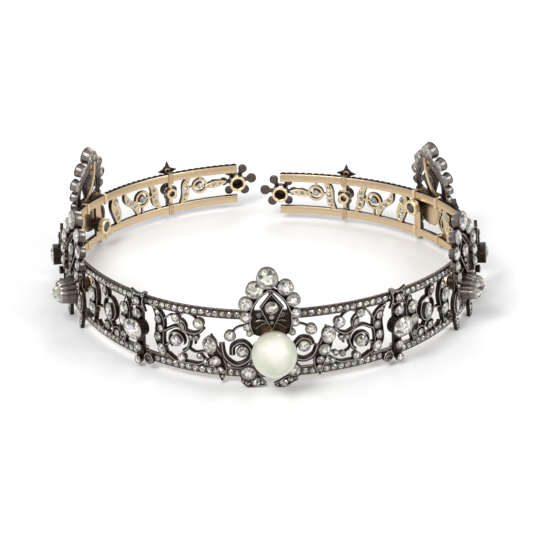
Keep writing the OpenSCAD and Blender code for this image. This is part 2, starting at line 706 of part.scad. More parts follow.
// The stones of an arch but for its top one
module arch_stones(place, settings) {
    arch_frame(place) {
        for (i = [1:len(settings) - 1])
            translate([settings[i][0], settings[i][1], 0])
                set_stone(settings[i][2], settings[i][2], settings[i][3]);
        translate([kite_setting[0], kite_setting[1], 0])
            set_stone(kite_setting[2], kite_setting[2], kite_setting[3]);
    }
}

// What is cut away so that the leaf tips end flat on the floor
module below_floor(place) {
    p = plan(place[0], place[1], 0);
    on_side(place[0]) translate([p[0], p[1], -5]) cube([60, 60, 10], center = true);
}

module crest_post(place) {
    translate([place[2], place[3], post_z0]) cylinder(h = 1.2 - post_z0, r = post_r);
}

// Front crest: settings beside and under the pearl [u, v, width, height, mouth w]
front_wings = [
    [13.2, 18.6, 4.1, 4.1, 2.9], [-13.6, 17.0, 4.1, 4.1, 2.9],
    [10.8, 12.5, 4.3, 4.3, 2.8], [-9.6, 11.0, 4.3, 4.3, 2.8],
    [7.3, 3.9, 5.6, 5.4, 3.2], [-7.9, 3.2, 6.2, 5.8, 3.2]
];
// Its leaves: [u, v, length, width, curl, turn]
front_leaves = [
    [6.5, 8, 13, 2.8, 0.4, 14], [-6, 8, 13, 2.8, 0.4, -14],
    [4.6, -0.8, 8.2, 3.4, 0.5, 102], [-6.2, -0.8, 8.6, 3.4, 0.5, -102]
];
// Its scrolls and the wires to the outer settings: [width, points]
front_strips = [
    [1.5, [[15.2, 12.4], [13.8, 8.9], [10.7, 7.2], [7.8, 8.4], [7.6, 12.0], [9.8, 14.9], [12.4, 14.6],
        [13.5, 12.6]]],
    [1.5, [[-16.4, 14.0], [-15.5, 9.0], [-11.7, 5.8], [-7.6, 7.6], [-6.9, 11.4], [-9.4, 14.1],
        [-12.6, 12.8], [-13, 9.6]]],
    [0.9, [[13.2, 18.6], [10.8, 19.8], [8.0, 20.6]]],
    [0.9, [[-13.6, 17.0], [-11.0, 19.4], [-7.8, 20.2]]]
];
// The cup that the pearl is held in, and the plate under it
cup_r = 6.6;
cup_h = 3.4;
cup_plate = 1.3;
pearl_u = 0.8;

module crest_front() color(silver) {
    place = crest_front_place;
    difference() {
        on_band(right, 0) difference() {
            union() {
                arch_and_kite(place, arch_front, 0);
                bow(place[5]);
                crest_post(place);
                translate([pearl_u, place[4], crest_z0]) {
                    cylinder(h = cup_h, r1 = cup_r - 1, r2 = cup_r);
                    cylinder(h = cup_plate, r = cup_r - 0.6);
                }
                for (row = front_strips) strip(row[1], row[0], crest_z0, 2);
                slab(crest_z0, 2)
                    for (row = front_leaves)
                        translate([row[0], row[1]])
                            rotate(row[5]) polygon(leaf_outline(row[2], row[3], row[4]));
                for (row = front_wings) translate([row[0], row[1], 0])
                    setting(row[2], row[3], crest_z0, row[4]);
            }
            arch_seats(place, arch_front);
            for (row = front_wings) translate([row[0], row[1], 0]) seat(row[2], row[3], row[4]);
            translate([pearl_u, place[4], pearl_w]) sphere(r = pearl_d / 2 + seat_gap);
        }
        below_floor(place);
    }
}

// Side and back crests: an open loop with a long setting in it on each side of the fluted setting
loop_place = [6.6, 8.4];
loop_size = [6, 8.8];
loop_wall = 0.8;
loop_heart = [2.6, 6.6];
// Their leaves on each side: [u, v, length, width, curl, turn]
side_leaves = [[6.4, 1.2, 8.6, 2.6, 0.4, -8], [4.6, 14, 8, 2.4, 0.3, 6]];
crest_z0 = 0.7;
crest_z1 = 2.2;
flute_z1 = 8;
flute_seat = 1.4;
flute_lean = atan((flute_base_r - flute_mouth_r) / (flute_z1 - crest_z0));
// Radius of a rib, and how far its axis lies inside the setting's own radius
rib_r = 0.62;
rib_inset = 0.5;

module fluted_setting(v) {
    translate([0, v, crest_z0]) {
        cylinder(h = flute_z1 - crest_z0, r1 = flute_base_r - 0.3, r2 = flute_mouth_r - 0.3);
        for (i = [0:flute_ribs - 1])
            rotate([0, 0, 360 / flute_ribs * i])
                translate([flute_base_r - rib_inset, 0, 0])
                    rotate([0, -flute_lean, 0])
                        cylinder(h = flute_z1 - crest_z0 + 0.2, r = rib_r);
    }
}

module crest_with_flute(place) color(silver) {
    difference() {
        on_band(place[0], place[1]) difference() {
            union() {
                arch_and_kite(place, arch_side, 1);
                bow(place[5]);
                crest_post(place);
                fluted_setting(place[4]);
                slab(crest_z0, crest_z1) for (m = [-1, 1]) {
                    translate([m * loop_place[0], loop_place[1]]) difference() {
                        polygon(oval(loop_size[0], loop_size[1]));
                        polygon(oval(loop_size[0] - 2 * loop_wall, loop_size[1] - 2 * loop_wall));
                    }
                    translate([m * (loop_place[0] - 0.2), loop_place[1] - 0.6])
                        polygon(oval(loop_heart[0], loop_heart[1]));
                    for (row = side_leaves)
                        translate([m * row[0], row[1]])
                            rotate(m * row[5]) polygon(leaf_outline(row[2], row[3], row[4]));
                }
            }
            arch_seats(place, arch_side);
            translate([0, place[4], flute_z1 - flute_seat]) cylinder(h = 3, r = flute_mouth_r - 0.7);
        }
        below_floor(place);
    }
}

module crest_nut(place) color(gold) {
    at_post(place, boss_z0 - 0.15 - nut_len)
        difference() {
            cylinder(h = nut_len, r = nut_r);
            translate([0, 0, -1]) cylinder(h = nut_len + 2, r = post_r + post_gap);
        }
}
nut_r = 3.0;
nut_len = 2.1;

// Stones

module pearl() color(pearl_cream) {
    on_band(right, 0, crest_front_place[4], pearl_w) translate([pearl_u, 0, 0]) sphere(r = pearl_d / 2);
}

// A larger stone with two rows of crown facets, standing on z = 0.
module old_cut(wide, high, tall, n = 12) {
    rows = [[0.6, 0], [1, 0.32], [0.84, 0.72], [0.5, 1]];
    points = [for (r = rows) for (i = [0:n - 1])
        let (a = 360 / n * (i + 0.5)) [wide / 2 * r[0] * cos(a), high / 2 * r[0] * sin(a), r[1] * tall]];
    faces = concat(
        [[for (i = [0:n - 1]) i]],
        [for (k = [0:len(rows) - 2]) for (i = [0:n - 1])
            [k * n + i, (k + 1) * n + i, (k + 1) * n + (i + 1) % n, k * n + (i + 1) % n]],
        [[for (i = [n - 1:-1:0]) (len(rows) - 1) * n + i]]
    );
    polyhedron(points, faces);
}

module large_diamond(place) color(stone_white) {
    d = 2 * (flute_mouth_r - 0.7 - seat_gap);
    on_band(place[0], place[1], place[4], flute_z1 - flute_seat + seat_gap) old_cut(d, d, 3.6);
}

module connector_diamond(side, k) color(stone_white) {
    s = run_to(side, k);
    row = settings_of(k)[2];
    inset = 2 * (rim + seat_gap);
    seat = row[5] - seat_depth(row[3]) + seat_gap;
    on_band(side, s, row[0], seat) old_cut(row[2] - inset, row[3] - inset, 2.4);
}

module top_stone(place, row) color(stone_white) {
    inset = 2 * (rim + seat_gap);
    on_band(place[0], place[1])
        arch_frame(place)
            translate([row[0], row[1], row[3] - seat_depth(row[2]) + seat_gap])
                old_cut(row[2] - inset, row[2] - inset, 2.3);
}

module stones_front() color(stone_white) {
    panel_stones(right, 0, 1, front_right);
    panel_stones(left, 0, 1, front_left);
}

module stones_side(side) color(stone_white) {
    panel_stones(side, run_to(side, 1), stretch(side, 1, side_front_run), side_front);
    panel_stones(side, run_to(side, 2), stretch(side, 2, side_back_run), side_back);
}

module stones_back(side) color(stone_white) {
    panel_stones(side, run_to(side, 3), stretch(side, 3, back_front_run), back_front);
    panel_stones(side, run_to(side, 4), stretch(side, 4, back_back_run), back_back);
}

module stones_end(side) color(stone_white) {
    panel_stones(side, run_to(side, 5), stretch(side, 5, end_full_run), end_run);
}

module crest_stones_front() color(stone_white) {
    on_band(right, 0) {
        arch_stones(crest_front_place, arch_front);
        for (row = front_wings) translate([row[0], row[1], 0]) set_stone(row[2], row[3], row[4]);
    }
}

module crest_stones(place) color(stone_white) {
    on_band(place[0], place[1]) arch_stones(place, arch_side);
}

module connector_stones(side) color(stone_white) {
    for (k = [connector_front, connector_side])
        let (s = run_to(side, k))
            for (i = [0, 1, 3, 4])
                let (row = settings_of(k)[i])
                    on_band(side, s, setting_v(row, height(side, s))) set_stone(row[2], row[3], row[5]);
    s = run_to(side, connector_back);
    for (row = back_connector_settings)
        on_band(side, s, setting_v(row, height(side, s))) set_stone(row[2], row[3], row[5]);
}

// End flower: petals round a tube [angle, distance, radius]
petals = [[62, 5.4, 1.7], [4, 6, 1.9], [-52, 5.2, 1.8], [128, 5, 1.5], [180, 5, 1.6], [-128, 4.9, 1.6]];
module end_flower(side) color(silver) {
    on_band(side, run_to(side, band_end), tube_v)
        difference() {
            union() {
                for (p = petals)
                    rotate([0, 0, p[0]]) {
                        translate([p[1], 0, 0.3]) cylinder(h = 1.1, r = p[2]);
                        slab(0.3, 1.1) translate([0, -0.8]) square([p[1], 1.6]);
                    }
                translate([0, 0, -3.2]) cylinder(h = tube_len + 0.6, r = tube_r);
            }
            translate([0, 0, -3.3]) cylinder(h = tube_len + 0.1, r = tube_bore_r);
        }
}

band_front();
band_side(right, crest_right_place);  // band_side_right
band_side(left, crest_left_place);  // band_side_left
band_back(right, crest_back_right_place);  // band_back_right
band_back(left, crest_back_left_place);  // band_back_left
band_end_part(right);  // band_end_right
band_end_part(left);  // band_end_left
connector(right, connector_front);  // connector_front_right
connector(left, connector_front);  // connector_front_left
connector(right, connector_side);  // connector_side_right
connector(left, connector_side);  // connector_side_left
back_connector(right);  // connector_back_right
back_connector(left);  // connector_back_left
crest_front();
crest_with_flute(crest_right_place);  // crest_right
crest_with_flute(crest_left_place);  // crest_left
crest_with_flute(crest_back_right_place);  // crest_back_right
crest_with_flute(crest_back_left_place);  // crest_back_left
crest_nut(crest_front_place);  // nut_front
crest_nut(crest_right_place);  // nut_right
crest_nut(crest_left_place);  // nut_left
crest_nut(crest_back_right_place);  // nut_back_right
crest_nut(crest_back_left_place);  // nut_back_left
pearl();
large_diamond(crest_right_place);  // diamond_right
large_diamond(crest_left_place);  // diamond_left
large_diamond(crest_back_right_place);  // diamond_back_right
large_diamond(crest_back_left_place);  // diamond_back_left
connector_diamond(right, connector_front);  // diamond_connector_front_right
connector_diamond(left, connector_front);  // diamond_connector_front_left
connector_diamond(right, connector_side);  // diamond_connector_side_right
connector_diamond(left, connector_side);  // diamond_connector_side_left
top_stone(crest_front_place, arch_front[0]);  // top_stone_front
top_stone(crest_right_place, arch_side[0]);  // top_stone_right
top_stone(crest_left_place, arch_side[0]);  // top_stone_left
top_stone(crest_back_right_place, arch_side[0]);  // top_stone_back_right
top_stone(crest_back_left_place, arch_side[0]);  // top_stone_back_left
stones_front();
stones_side(right);  // stones_side_right
stones_side(left);  // stones_side_left
stones_back(right);  // stones_back_right
stones_back(left);  // stones_back_left
stones_end(right);  // stones_end_right
stones_end(left);  // stones_end_left
crest_stones_front();
crest_stones(crest_right_place);  // crest_stones_right
crest_stones(crest_left_place);  // crest_stones_left
crest_stones(crest_back_right_place);  // crest_stones_back_right
crest_stones(crest_back_left_place);  // crest_stones_back_left
connector_stones(right);  // connector_stones_right
connector_stones(left);  // connector_stones_left
end_flower(right);  // end_flower_right
end_flower(left);  // end_flower_left
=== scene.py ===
import json
import math
import random

import bpy
import numpy as np
from mathutils import Matrix

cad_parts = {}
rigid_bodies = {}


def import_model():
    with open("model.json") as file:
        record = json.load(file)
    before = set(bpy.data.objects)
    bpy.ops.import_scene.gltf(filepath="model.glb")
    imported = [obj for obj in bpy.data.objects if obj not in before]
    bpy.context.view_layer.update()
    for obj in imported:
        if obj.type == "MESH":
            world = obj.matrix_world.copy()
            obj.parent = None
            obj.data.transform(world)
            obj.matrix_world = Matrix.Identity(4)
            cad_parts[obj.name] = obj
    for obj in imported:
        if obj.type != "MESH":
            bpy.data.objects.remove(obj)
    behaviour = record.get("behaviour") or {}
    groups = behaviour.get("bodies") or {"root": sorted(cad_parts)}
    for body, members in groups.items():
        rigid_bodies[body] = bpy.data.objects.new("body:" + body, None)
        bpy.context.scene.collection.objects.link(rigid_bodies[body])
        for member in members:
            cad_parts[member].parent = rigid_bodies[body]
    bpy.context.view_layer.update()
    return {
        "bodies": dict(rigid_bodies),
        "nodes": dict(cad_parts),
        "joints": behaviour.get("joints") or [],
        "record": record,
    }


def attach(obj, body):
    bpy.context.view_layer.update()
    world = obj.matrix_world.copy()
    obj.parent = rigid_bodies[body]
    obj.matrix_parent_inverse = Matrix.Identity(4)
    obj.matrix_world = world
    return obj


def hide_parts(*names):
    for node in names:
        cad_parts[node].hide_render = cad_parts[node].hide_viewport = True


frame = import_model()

mm = 0.001
dice = random.Random(11)
print("frame loaded:", len(frame["nodes"]), "nodes")

# The ring, in millimetres. s runs along the band from the front centre, v up from the lower rail's
# underside, and w outwards from the rails' face. side is 1 on the right and -1 on the left.
# Bends are (length, radius) from the front to the end.
ring = {
    "high": 24.2,
    "taper": 8.4,
    "lean": 0.6,
    "frontY": 72.8,
    "foot": 2.6,
    "middle": (0.74, -6.741),
    "gap": 0.2,
    "bends": {
        1: [(44.5, 72.5), (37, 76.5), (28.5, 72), (41, 53.3), (37.5, 76), (25.5, 87)],
        -1: [(47.5, 62), (41.5, 96), (27, 95), (35, 55.5), (39, 70), (27.5, 85)],
    },
}
leanAngle = math.atan(ring["lean"] / ring["high"])
tiltAngle = math.atan(ring["taper"] / (2 * ring["frontY"]))


def bendTable(side):
    rows = []
    bends = ring["bends"][side]
    run, turn, x, y = 0.0, 0.0, 0.0, bends[0][1] - ring["frontY"]
    for i, (length, radius) in enumerate(bends):
        rows.append((run, turn, x, y, radius))
        run += length
        turn += length / radius
        if i + 1 < len(bends):
            x += (radius - bends[i + 1][1]) * math.sin(turn)
            y -= (radius - bends[i + 1][1]) * math.cos(turn)
    return np.array(rows)


bendTables = {1: bendTable(1), -1: bendTable(-1)}


def runTo(side, k):
    return sum(length for length, radius in ring["bends"][side][:k])


def planAt(side, s, out):
    rows = bendTables[side]
    s = np.asarray(s, float)
    k = np.clip(np.searchsorted(rows[:, 0], s, side="right") - 1, 0, len(rows) - 1)
    row = rows[k]
    turn = row[..., 1] + (s - row[..., 0]) / row[..., 4]
    reach = row[..., 4] + out
    return row[..., 2] + reach * np.sin(turn), row[..., 3] - reach * np.cos(turn), turn


def heightAt(side, s):
    y = planAt(side, s, 0)[1]
    return float(ring["high"] - ring["taper"] * (y + ring["frontY"]) / (2 * ring["frontY"]))


def toRow(side, x, y, z):
    return np.stack([side * x - ring["middle"][0], y - ring["middle"][1], z], axis=-1)


def nodeEnd(name):
    # the end of a solid's name: BackRight gives _back_right
    return "".join("_" + c.lower() if c.isupper() else c for c in name)


class Spot:  # a place on the band: shapes there follow its bend, or stand flat where flat is set
    def __init__(self, side, s, v=0.0, w=0.0, turn=0.0, flat=False, frame=None):
        self.side, self.s, self.flat = side, s, flat
        self.frame = frame or Matrix.Translation((0, v, w)) @ Matrix.Rotation(math.radians(turn), 4, "Z")

    def moved(self, u=0.0, v=0.0, w=0.0, turn=0.0, lean=0.0):
        step = Matrix.Translation((u, v, w)) @ Matrix.Rotation(math.radians(turn), 4, "Z")
        step = step @ Matrix.Rotation(-math.radians(lean), 4, "X")
        return Spot(self.side, self.s, flat=self.flat, frame=self.frame @ step)

    def place(self, points):
        frame = np.array(self.frame)
        u, v, w = (np.asarray(points, float).reshape(-1, 3) @ frame[:3, :3].T + frame[:3, 3]).T
        out = w * math.cos(leanAngle) - v * math.sin(leanAngle)
        z = np.maximum(0, ring["foot"] + v * math.cos(leanAngle) + w * math.sin(leanAngle))
        if not self.flat:
            x, y, turn = planAt(self.side, self.s + u, ring["lean"] + out)
            return toRow(self.side, x, y, z)
        x, y, turn = planAt(self.side, self.s, ring["lean"])
        return toRow(self.side, x + u * np.cos(turn) + out * np.sin(turn),
                     y + u * np.sin(turn) - out * np.cos(turn), z)


class Bench:  # gathers the shapes of one piece, sorted by finish
    sharpFrom = 34

    def __init__(self, name):
        self.name = name
        self.parts = {}

    def put(self, points, faces, finishes, wearAndPaintedLightValues, flip=False, soft=True):
        for finish in sorted(set(finishes)):
            part = self.parts.setdefault(finish, {
                "points": [], "faces": [], "wear": [], "soft": [], "count": 0,
            })
            mine = [i for i, f in enumerate(finishes) if f == finish]
            used = sorted({p for i in mine for p in faces[i]})
            number = {p: part["count"] + i for i, p in enumerate(used)}
            part["points"].append(points[used])
            part["count"] += len(used)
            for i in mine:
                face = [number[p] for p in faces[i]]
                part["faces"].append(face[::-1] if flip else face)
                part["wear"].append(wearAndPaintedLightValues[i])
                part["soft"].append(soft)

    def add(self, spot, points, faces, finish, wear=0.0, soft=True):
        finishes = finish if isinstance(finish, list) else [finish] * len(faces)
        wearAndPaintedLightValues = wear if isinstance(wear, list) else [wear] * len(faces)
        self.put(spot.place(points), faces, finishes, wearAndPaintedLightValues, spot.side < 0, soft)

    def finish(self, **replaced):
        # makes one object for each finish, in place of the solids named for that finish
        sizes = []
        for finish, part in sorted(self.parts.items()):
            name = self.name + finish.capitalize()
            mesh = bpy.data.meshes.new(name)
            mesh.from_pydata((np.concatenate(part["points"]) * mm).tolist(), [], part["faces"])
            # each face's value of wear and painted light: rubbed edges with painted highlights on silver,
            # painted shade and highlights on gold, painted reflections on stones
            wear = mesh.attributes.new("wear", "FLOAT", "FACE")
            wear.data.foreach_set("value", np.array(part["wear"], np.float32))
            mesh.polygons.foreach_set("use_smooth", part["soft"])
            if finish != "stone":
                mesh.set_sharp_from_angle(angle=math.radians(self.sharpFrom))
            piece = bpy.data.objects.new(name, mesh)
            bpy.context.scene.collection.objects.link(piece)
            piece.data.materials.append(materials[finish])
            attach(piece, "root")
            if replaced.get(finish):
                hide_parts(*replaced[finish])
            sizes.append(f"{name} {len(mesh.polygons)}")
        print("made", ", ".join(sizes))


# Materials

class Recipe:  # a material with its nodes, links and shader
    def __init__(self, name):
        self.material = bpy.data.materials.new(name)
        self.material.use_nodes = True
        self.nodes = self.material.node_tree.nodes
        self.links = self.material.node_tree.links
        self.shader = self.nodes["Principled BSDF"]

    def join(self, value, socket):
        self.links.new(value, self.shader.inputs[socket])

    def texture(self, kind, scale, stretch=(1, 1, 1)):
        place = self.nodes.new("ShaderNodeTexCoord")
        mapping = self.nodes.new("ShaderNodeMapping")
        mapping.inputs["Scale"].default_value = stretch
        node = self.nodes.new(kind)
        node.inputs["Scale"].default_value = scale
        self.links.new(place.outputs["Object"], mapping.inputs["Vector"])
        self.links.new(mapping.outputs["Vector"], node.inputs["Vector"])
        return node

    def noise(self, scale, detail, stretch=(1, 1, 1)):
        node = self.texture("ShaderNodeTexNoise", scale, stretch)
        node.inputs["Detail"].default_value = detail
        return node.outputs["Fac"]

    def ramp(self, value, stops):
        node = self.nodes.new("ShaderNodeValToRGB")
        line = node.color_ramp.elements
        for end in (0, -1):
            line[end].position = stops[end][0]
            line[end].color = (*stops[end][1], 1)
        for at, colour in stops[1:-1]:
            line.new(at).color = (*colour, 1)
        self.links.new(value, node.inputs["Fac"])
        return node.outputs["Color"]

    def scaled(self, value, share):
        node = self.nodes.new("ShaderNodeMath")
        node.operation = "MULTIPLY"
        node.inputs[1].default_value = share
        self.links.new(value, node.inputs[0])
        return node.outputs[0]

    def total(self, a, b, share):
        # a and a share of b
        node = self.nodes.new("ShaderNodeMath")
        self.links.new(a, node.inputs[0])
        self.links.new(self.scaled(b, share), node.inputs[1])
        return node.outputs[0]

    def wear(self):
        # reads each face's value of wear and painted light
        node = self.nodes.new("ShaderNodeAttribute")
        node.attribute_name = "wear"
        return node.outputs["Fac"]

    def bump(self, height, strength, distance):
        node = self.nodes.new("ShaderNodeBump")
        node.inputs["Strength"].default_value = strength
        node.inputs["Distance"].default_value = distance
        self.links.new(height, node.inputs["Height"])
        self.join(node.outputs["Normal"], "Normal")


# Oxidised silver is dark in its hollows and paler as the faces' values rise; the pale edges are partly
# rubbed wear and partly painted highlight.
silverLook = {
    "deep": (0.016, 0.0115, 0.009), "brown": (0.058, 0.043, 0.034), "grey": (0.175, 0.147, 0.135),
    "bright": (0.55, 0.505, 0.475),
    "cloud": 700, "cloudShare": 0.34, "wearAndPaintedLightShare": 0.8, "dull": 0.48, "shiny": 0.24, "scratch": 2600,
}


def silverMaterial():
    recipe = Recipe("oxidisedSilver")
    look = silverLook
    cloud = recipe.noise(look["cloud"], 4)
    wear = recipe.scaled(recipe.total(recipe.wear(), cloud, look["cloudShare"]), look["wearAndPaintedLightShare"])
    recipe.join(recipe.ramp(wear, [
        (0.08, look["deep"]), (0.22, look["brown"]), (0.55, look["grey"]), (0.94, look["bright"]),
    ]), "Base Color")
    recipe.shader.inputs["Metallic"].default_value = 1.0
    rough = recipe.nodes.new("ShaderNodeMapRange")
    rough.inputs["To Min"].default_value = look["dull"]
    rough.inputs["To Max"].default_value = look["shiny"]
    recipe.links.new(wear, rough.inputs["Value"])
    recipe.join(rough.outputs["Result"], "Roughness")
    recipe.bump(recipe.noise(look["scratch"], 3), 0.25, 0.00008)
    return recipe.material


# Gold takes its tone from the faces' values and a random cloud: shade is painted shade, pale is a painted
# highlight.
goldLook = {
    "shade": (0.36, 0.22, 0.13), "satin": (0.7, 0.53, 0.34), "pale": (0.88, 0.75, 0.5),
    "cloud": 260, "cloudShare": 0.36, "toneShare": 0.75, "roughness": 0.36, "brushed": 900,
}


def goldMaterial():
    recipe = Recipe("satinGold")
    look = goldLook
    cloud = recipe.noise(look["cloud"], 5)
    tone = recipe.scaled(recipe.total(recipe.wear(), cloud, look["cloudShare"]), look["toneShare"])
    recipe.join(recipe.ramp(tone, [
        (0.08, look["shade"]), (0.42, look["satin"]), (0.98, look["pale"]),
    ]), "Base Color")
    recipe.shader.inputs["Metallic"].default_value = 1.0
    recipe.shader.inputs["Roughness"].default_value = look["roughness"]
    recipe.bump(recipe.noise(look["brushed"], 6, (1, 1, 7)), 0.3, 0.00006)
    return recipe.material


# Stones are painted with light: dark, grey, pale and white stand for their facets' reflections and glints,
# and the tints for painted fire.
stoneLook = {
    "dark": (0.02, 0.018, 0.016), "grey": (0.12, 0.113, 0.095), "pale": (0.36, 0.355, 0.31),
    "white": (0.9, 0.9, 0.86), "shard": 1300, "shardShare": 0.5, "toneShare": 0.72,
    "tints": [
        (0.0, (0.8, 0.88, 0.66)), (0.3, (0.96, 1, 0.88)), (0.58, (1, 0.98, 0.93)), (0.74, (1, 0.74, 0.88)),
        (0.88, (0.84, 0.78, 1)), (1.0, (0.6, 0.64, 1)),
    ],
}


def stoneMaterial():
    recipe = Recipe("cutStone")
    look = stoneLook
    pick = recipe.nodes.new("ShaderNodeSeparateColor")
    shards = recipe.texture("ShaderNodeTexVoronoi", look["shard"])
    recipe.links.new(shards.outputs["Color"], pick.inputs["Color"])
    # each facet's painted reflection: its own value and a random shard, on a ramp from a dark reflection to
    # a white glint, tinted with painted fire
    tone = recipe.total(recipe.wear(), pick.outputs["Red"], look["shardShare"])
    light = recipe.ramp(recipe.scaled(tone, look["toneShare"]), [
        (0.12, look["dark"]), (0.4, look["grey"]), (0.7, look["pale"]), (0.94, look["white"]),
    ])
    mix = recipe.nodes.new("ShaderNodeMix")
    mix.data_type = "RGBA"
    mix.blend_type = "MULTIPLY"
    mix.inputs["Factor"].default_value = 1.0
    recipe.links.new(light, mix.inputs["A"])
    recipe.links.new(recipe.ramp(pick.outputs["Green"], look["tints"]), mix.inputs["B"])
    recipe.join(mix.outputs["Result"], "Base Color")
    recipe.shader.inputs["Roughness"].default_value = 0.04
    recipe.shader.inputs["IOR"].default_value = 2.2
    return recipe.material


pearlLook = {
    "cream": (0.78, 0.74, 0.68), "green": (0.57, 0.6, 0.47), "grey": (0.52, 0.52, 0.46),
    "paintedSheenShare": 0.55, "cloud": 95, "cloudShare": 0.75,
}


def pearlMaterial():
    recipe = Recipe("pearlLustre")
    look = pearlLook
    # Layer Weight's Facing paints a sheen into the colour: the tone turns greyer towards the outline that
    # the camera sees.
    rim = recipe.nodes.new("ShaderNodeLayerWeight")
    rim.inputs["Blend"].default_value = 0.35
    cloud = recipe.noise(look["cloud"], 2, (1, 1, 2.2))
    tone = recipe.total(recipe.scaled(rim.outputs["Facing"], look["paintedSheenShare"]), cloud, look["cloudShare"])
    recipe.join(recipe.ramp(tone, [
        (0.34, look["cream"]), (0.56, look["green"]), (0.8, look["cream"]), (1.0, look["grey"]),
    ]), "Base Color")
    recipe.shader.inputs["Roughness"].default_value = 0.34
    recipe.shader.inputs["Coat Weight"].default_value = 0.35
    recipe.shader.inputs["Coat Roughness"].default_value = 0.24
    recipe.bump(recipe.noise(300, 2), 0.15, 0.0001)
    return recipe.material


materials = {
    "silver": silverMaterial(),
    "gold": goldMaterial(),
    "stone": stoneMaterial(),
    "pearl": pearlMaterial(),
}
print("materials made")


# Shapes

def quads(rows, size, loop=False, outwards=False):
    # the faces between rows of points, where each row is an outline of the same size
    faces = []
    for i in range(rows if loop else rows - 1):
        a, b = i * size, (i + 1) % rows * size
        for k in range(size):
            m = (k + 1) % size
            faces.append([a + k, a + m, b + m, b + k] if outwards else [a + k, b + k, b + m, a + m])
    return faces


def stack(bench, spot, rows, back=None, front=None):
    # rows of (outline, level, finish, wear and painted light): the wall up to a row takes that row's finish
    size = len(rows[0][0])
    points = [(x, y, level) for outline, level, finish, wear in rows for x, y in outline]
    faces = quads(len(rows), size, outwards=True)
    finishes = [row[2] for row in rows[1:] for i in range(size)]
    wearAndPaintedLightValues = [row[3] for row in rows[1:] for i in range(size)]
    first = list(range(size))[::-1]
    last = [(len(rows) - 1) * size + i for i in range(size)]
    for face, look in ((first, back), (last, front)):
        if look:
            faces.append(face)
            finishes.append(look[0])
            wearAndPaintedLightValues.append(look[1])
    bench.add(spot, points, faces, finishes, wearAndPaintedLightValues)


def box(left, low, right, top):
    return [(left, low), (right, low), (right, top), (left, top)]


def plate(bench, spot, outline, low, top, wear, back, front=0.1):
    # a flat silver plate
    rows = [(outline, level, "silver", wear) for level in (low, top)]
    stack(bench, spot, rows, back, ("silver", front))


def ellipse(wide, high, inset=0.0, sides=20, ribs=0, depth=0.0):
    outline = []
    for i in range(sides):
        a = 2 * math.pi * i / sides
        lobe = 1 + depth * (abs(math.cos(ribs * a / 2)) - 1) if ribs else 1
        outline.append(((wide / 2 - inset) * lobe * math.cos(a), (high / 2 - inset) * lobe * math.sin(a)))
    return outline


def oval(bench, spot, wide, high, rows, sides=20, back=None, front=None):
    # an oval shape: rows of (inset, level, finish, wear and painted light)
    stack(bench, spot, [(ellipse(wide, high, inset, sides), *rest) for inset, *rest in rows], back, front)


def turned(bench, spot, rows, sides=28, back=None, front=None):
    # a round shape: rows of (radius, level, finish, wear and painted light)
    stack(bench, spot, [(ellipse(2 * r, 2 * r, 0, sides), *rest) for r, *rest in rows], back, front)


def polar(radius, degrees):
    return radius * math.cos(math.radians(degrees)), radius * math.sin(math.radians(degrees))


def ball(bench, spot, centre, radius, wear=0.7, squash=1.0):
    # a small round grain of silver
    sides = 6
    points = [(centre[0], centre[1], centre[2] - radius * squash)]
    for level in (-0.5, 0.5):
        reach = radius * math.sqrt(1 - level * level)
        for i in range(sides):
            a = 2 * math.pi * i / sides
            points.append((centre[0] + reach * math.cos(a), centre[1] + reach * math.sin(a),
                           centre[2] + level * radius * squash))
    points.append((centre[0], centre[1], centre[2] + radius * squash))
    faces = []
    for i in range(sides):
        j = (i + 1) % sides
        low, high = 1, 1 + sides
        faces.append([0, low + j, low + i])
        faces.append([low + i, low + j, high + j, high + i])
        faces.append([high + i, high + j, high + sides])
    bench.add(spot, points, faces, "silver", wear)


def ribbon(bench, spot, path, wide, back, front, closed=False, worn=0.8, ends=None, under="gold"):
    # a strip with dark walls and a knife edge along its front, pale from wear and a painted highlight; under
    # is the finish of its back
    path = np.asarray(path, float)
    count = len(path)
    half = wide / 2
    waist = back + 0.14
    slope = front - min(0.7, 0.6 * wide)
    near = front - 0.12
    edge = min(0.14, 0.2 * wide)
    profile = [
        (-half + 0.08, back, under, 0.5), (-half, waist, under, 0.8), (-half, slope, "silver", 0.0),
        (-edge - 0.04, near, "silver", 0.05), (-edge, front, "silver", worn), (edge, front, "silver", worn),
        (edge + 0.04, near, "silver", worn), (half, slope, "silver", 0.05), (half, waist, "silver", 0.0),
        (half - 0.08, back, under, 0.8),
    ]
    ahead = np.roll(path, -1, axis=0) - path
    behind = path - np.roll(path, 1, axis=0)
    if not closed:
        ahead[-1], behind[0] = behind[-1], ahead[0]
    way = ahead / np.linalg.norm(ahead, axis=1, keepdims=True)
    way += behind / np.linalg.norm(behind, axis=1, keepdims=True)
    way /= np.linalg.norm(way, axis=1, keepdims=True)
    across = np.stack([-way[:, 1], way[:, 0]], axis=1)
    scale = np.ones(count)
    if ends:
        along = np.linspace(0, 1, count)
        scale = np.minimum(1, ends + (1 - ends) * 3 * np.minimum(along, 1 - along))
    points = []
    for i in range(count):
        points += [(*(path[i] - across[i] * row[0] * scale[i]), row[1]) for row in profile]
    size = len(profile)
    faces = quads(count, size, loop=closed)
    runs = count if closed else count - 1
    finishes = [row[2] for row in profile[1:] + profile[:1]] * runs
    wearAndPaintedLightValues = [row[3] for row in profile[1:] + profile[:1]] * runs
    if not closed:
        faces += [list(range(size)), [(count - 1) * size + k for k in range(size)][::-1]]
        finishes += ["silver", "silver"]
        wearAndPaintedLightValues += [0.2, 0.2]
    bench.add(spot, points, faces, finishes, wearAndPaintedLightValues)


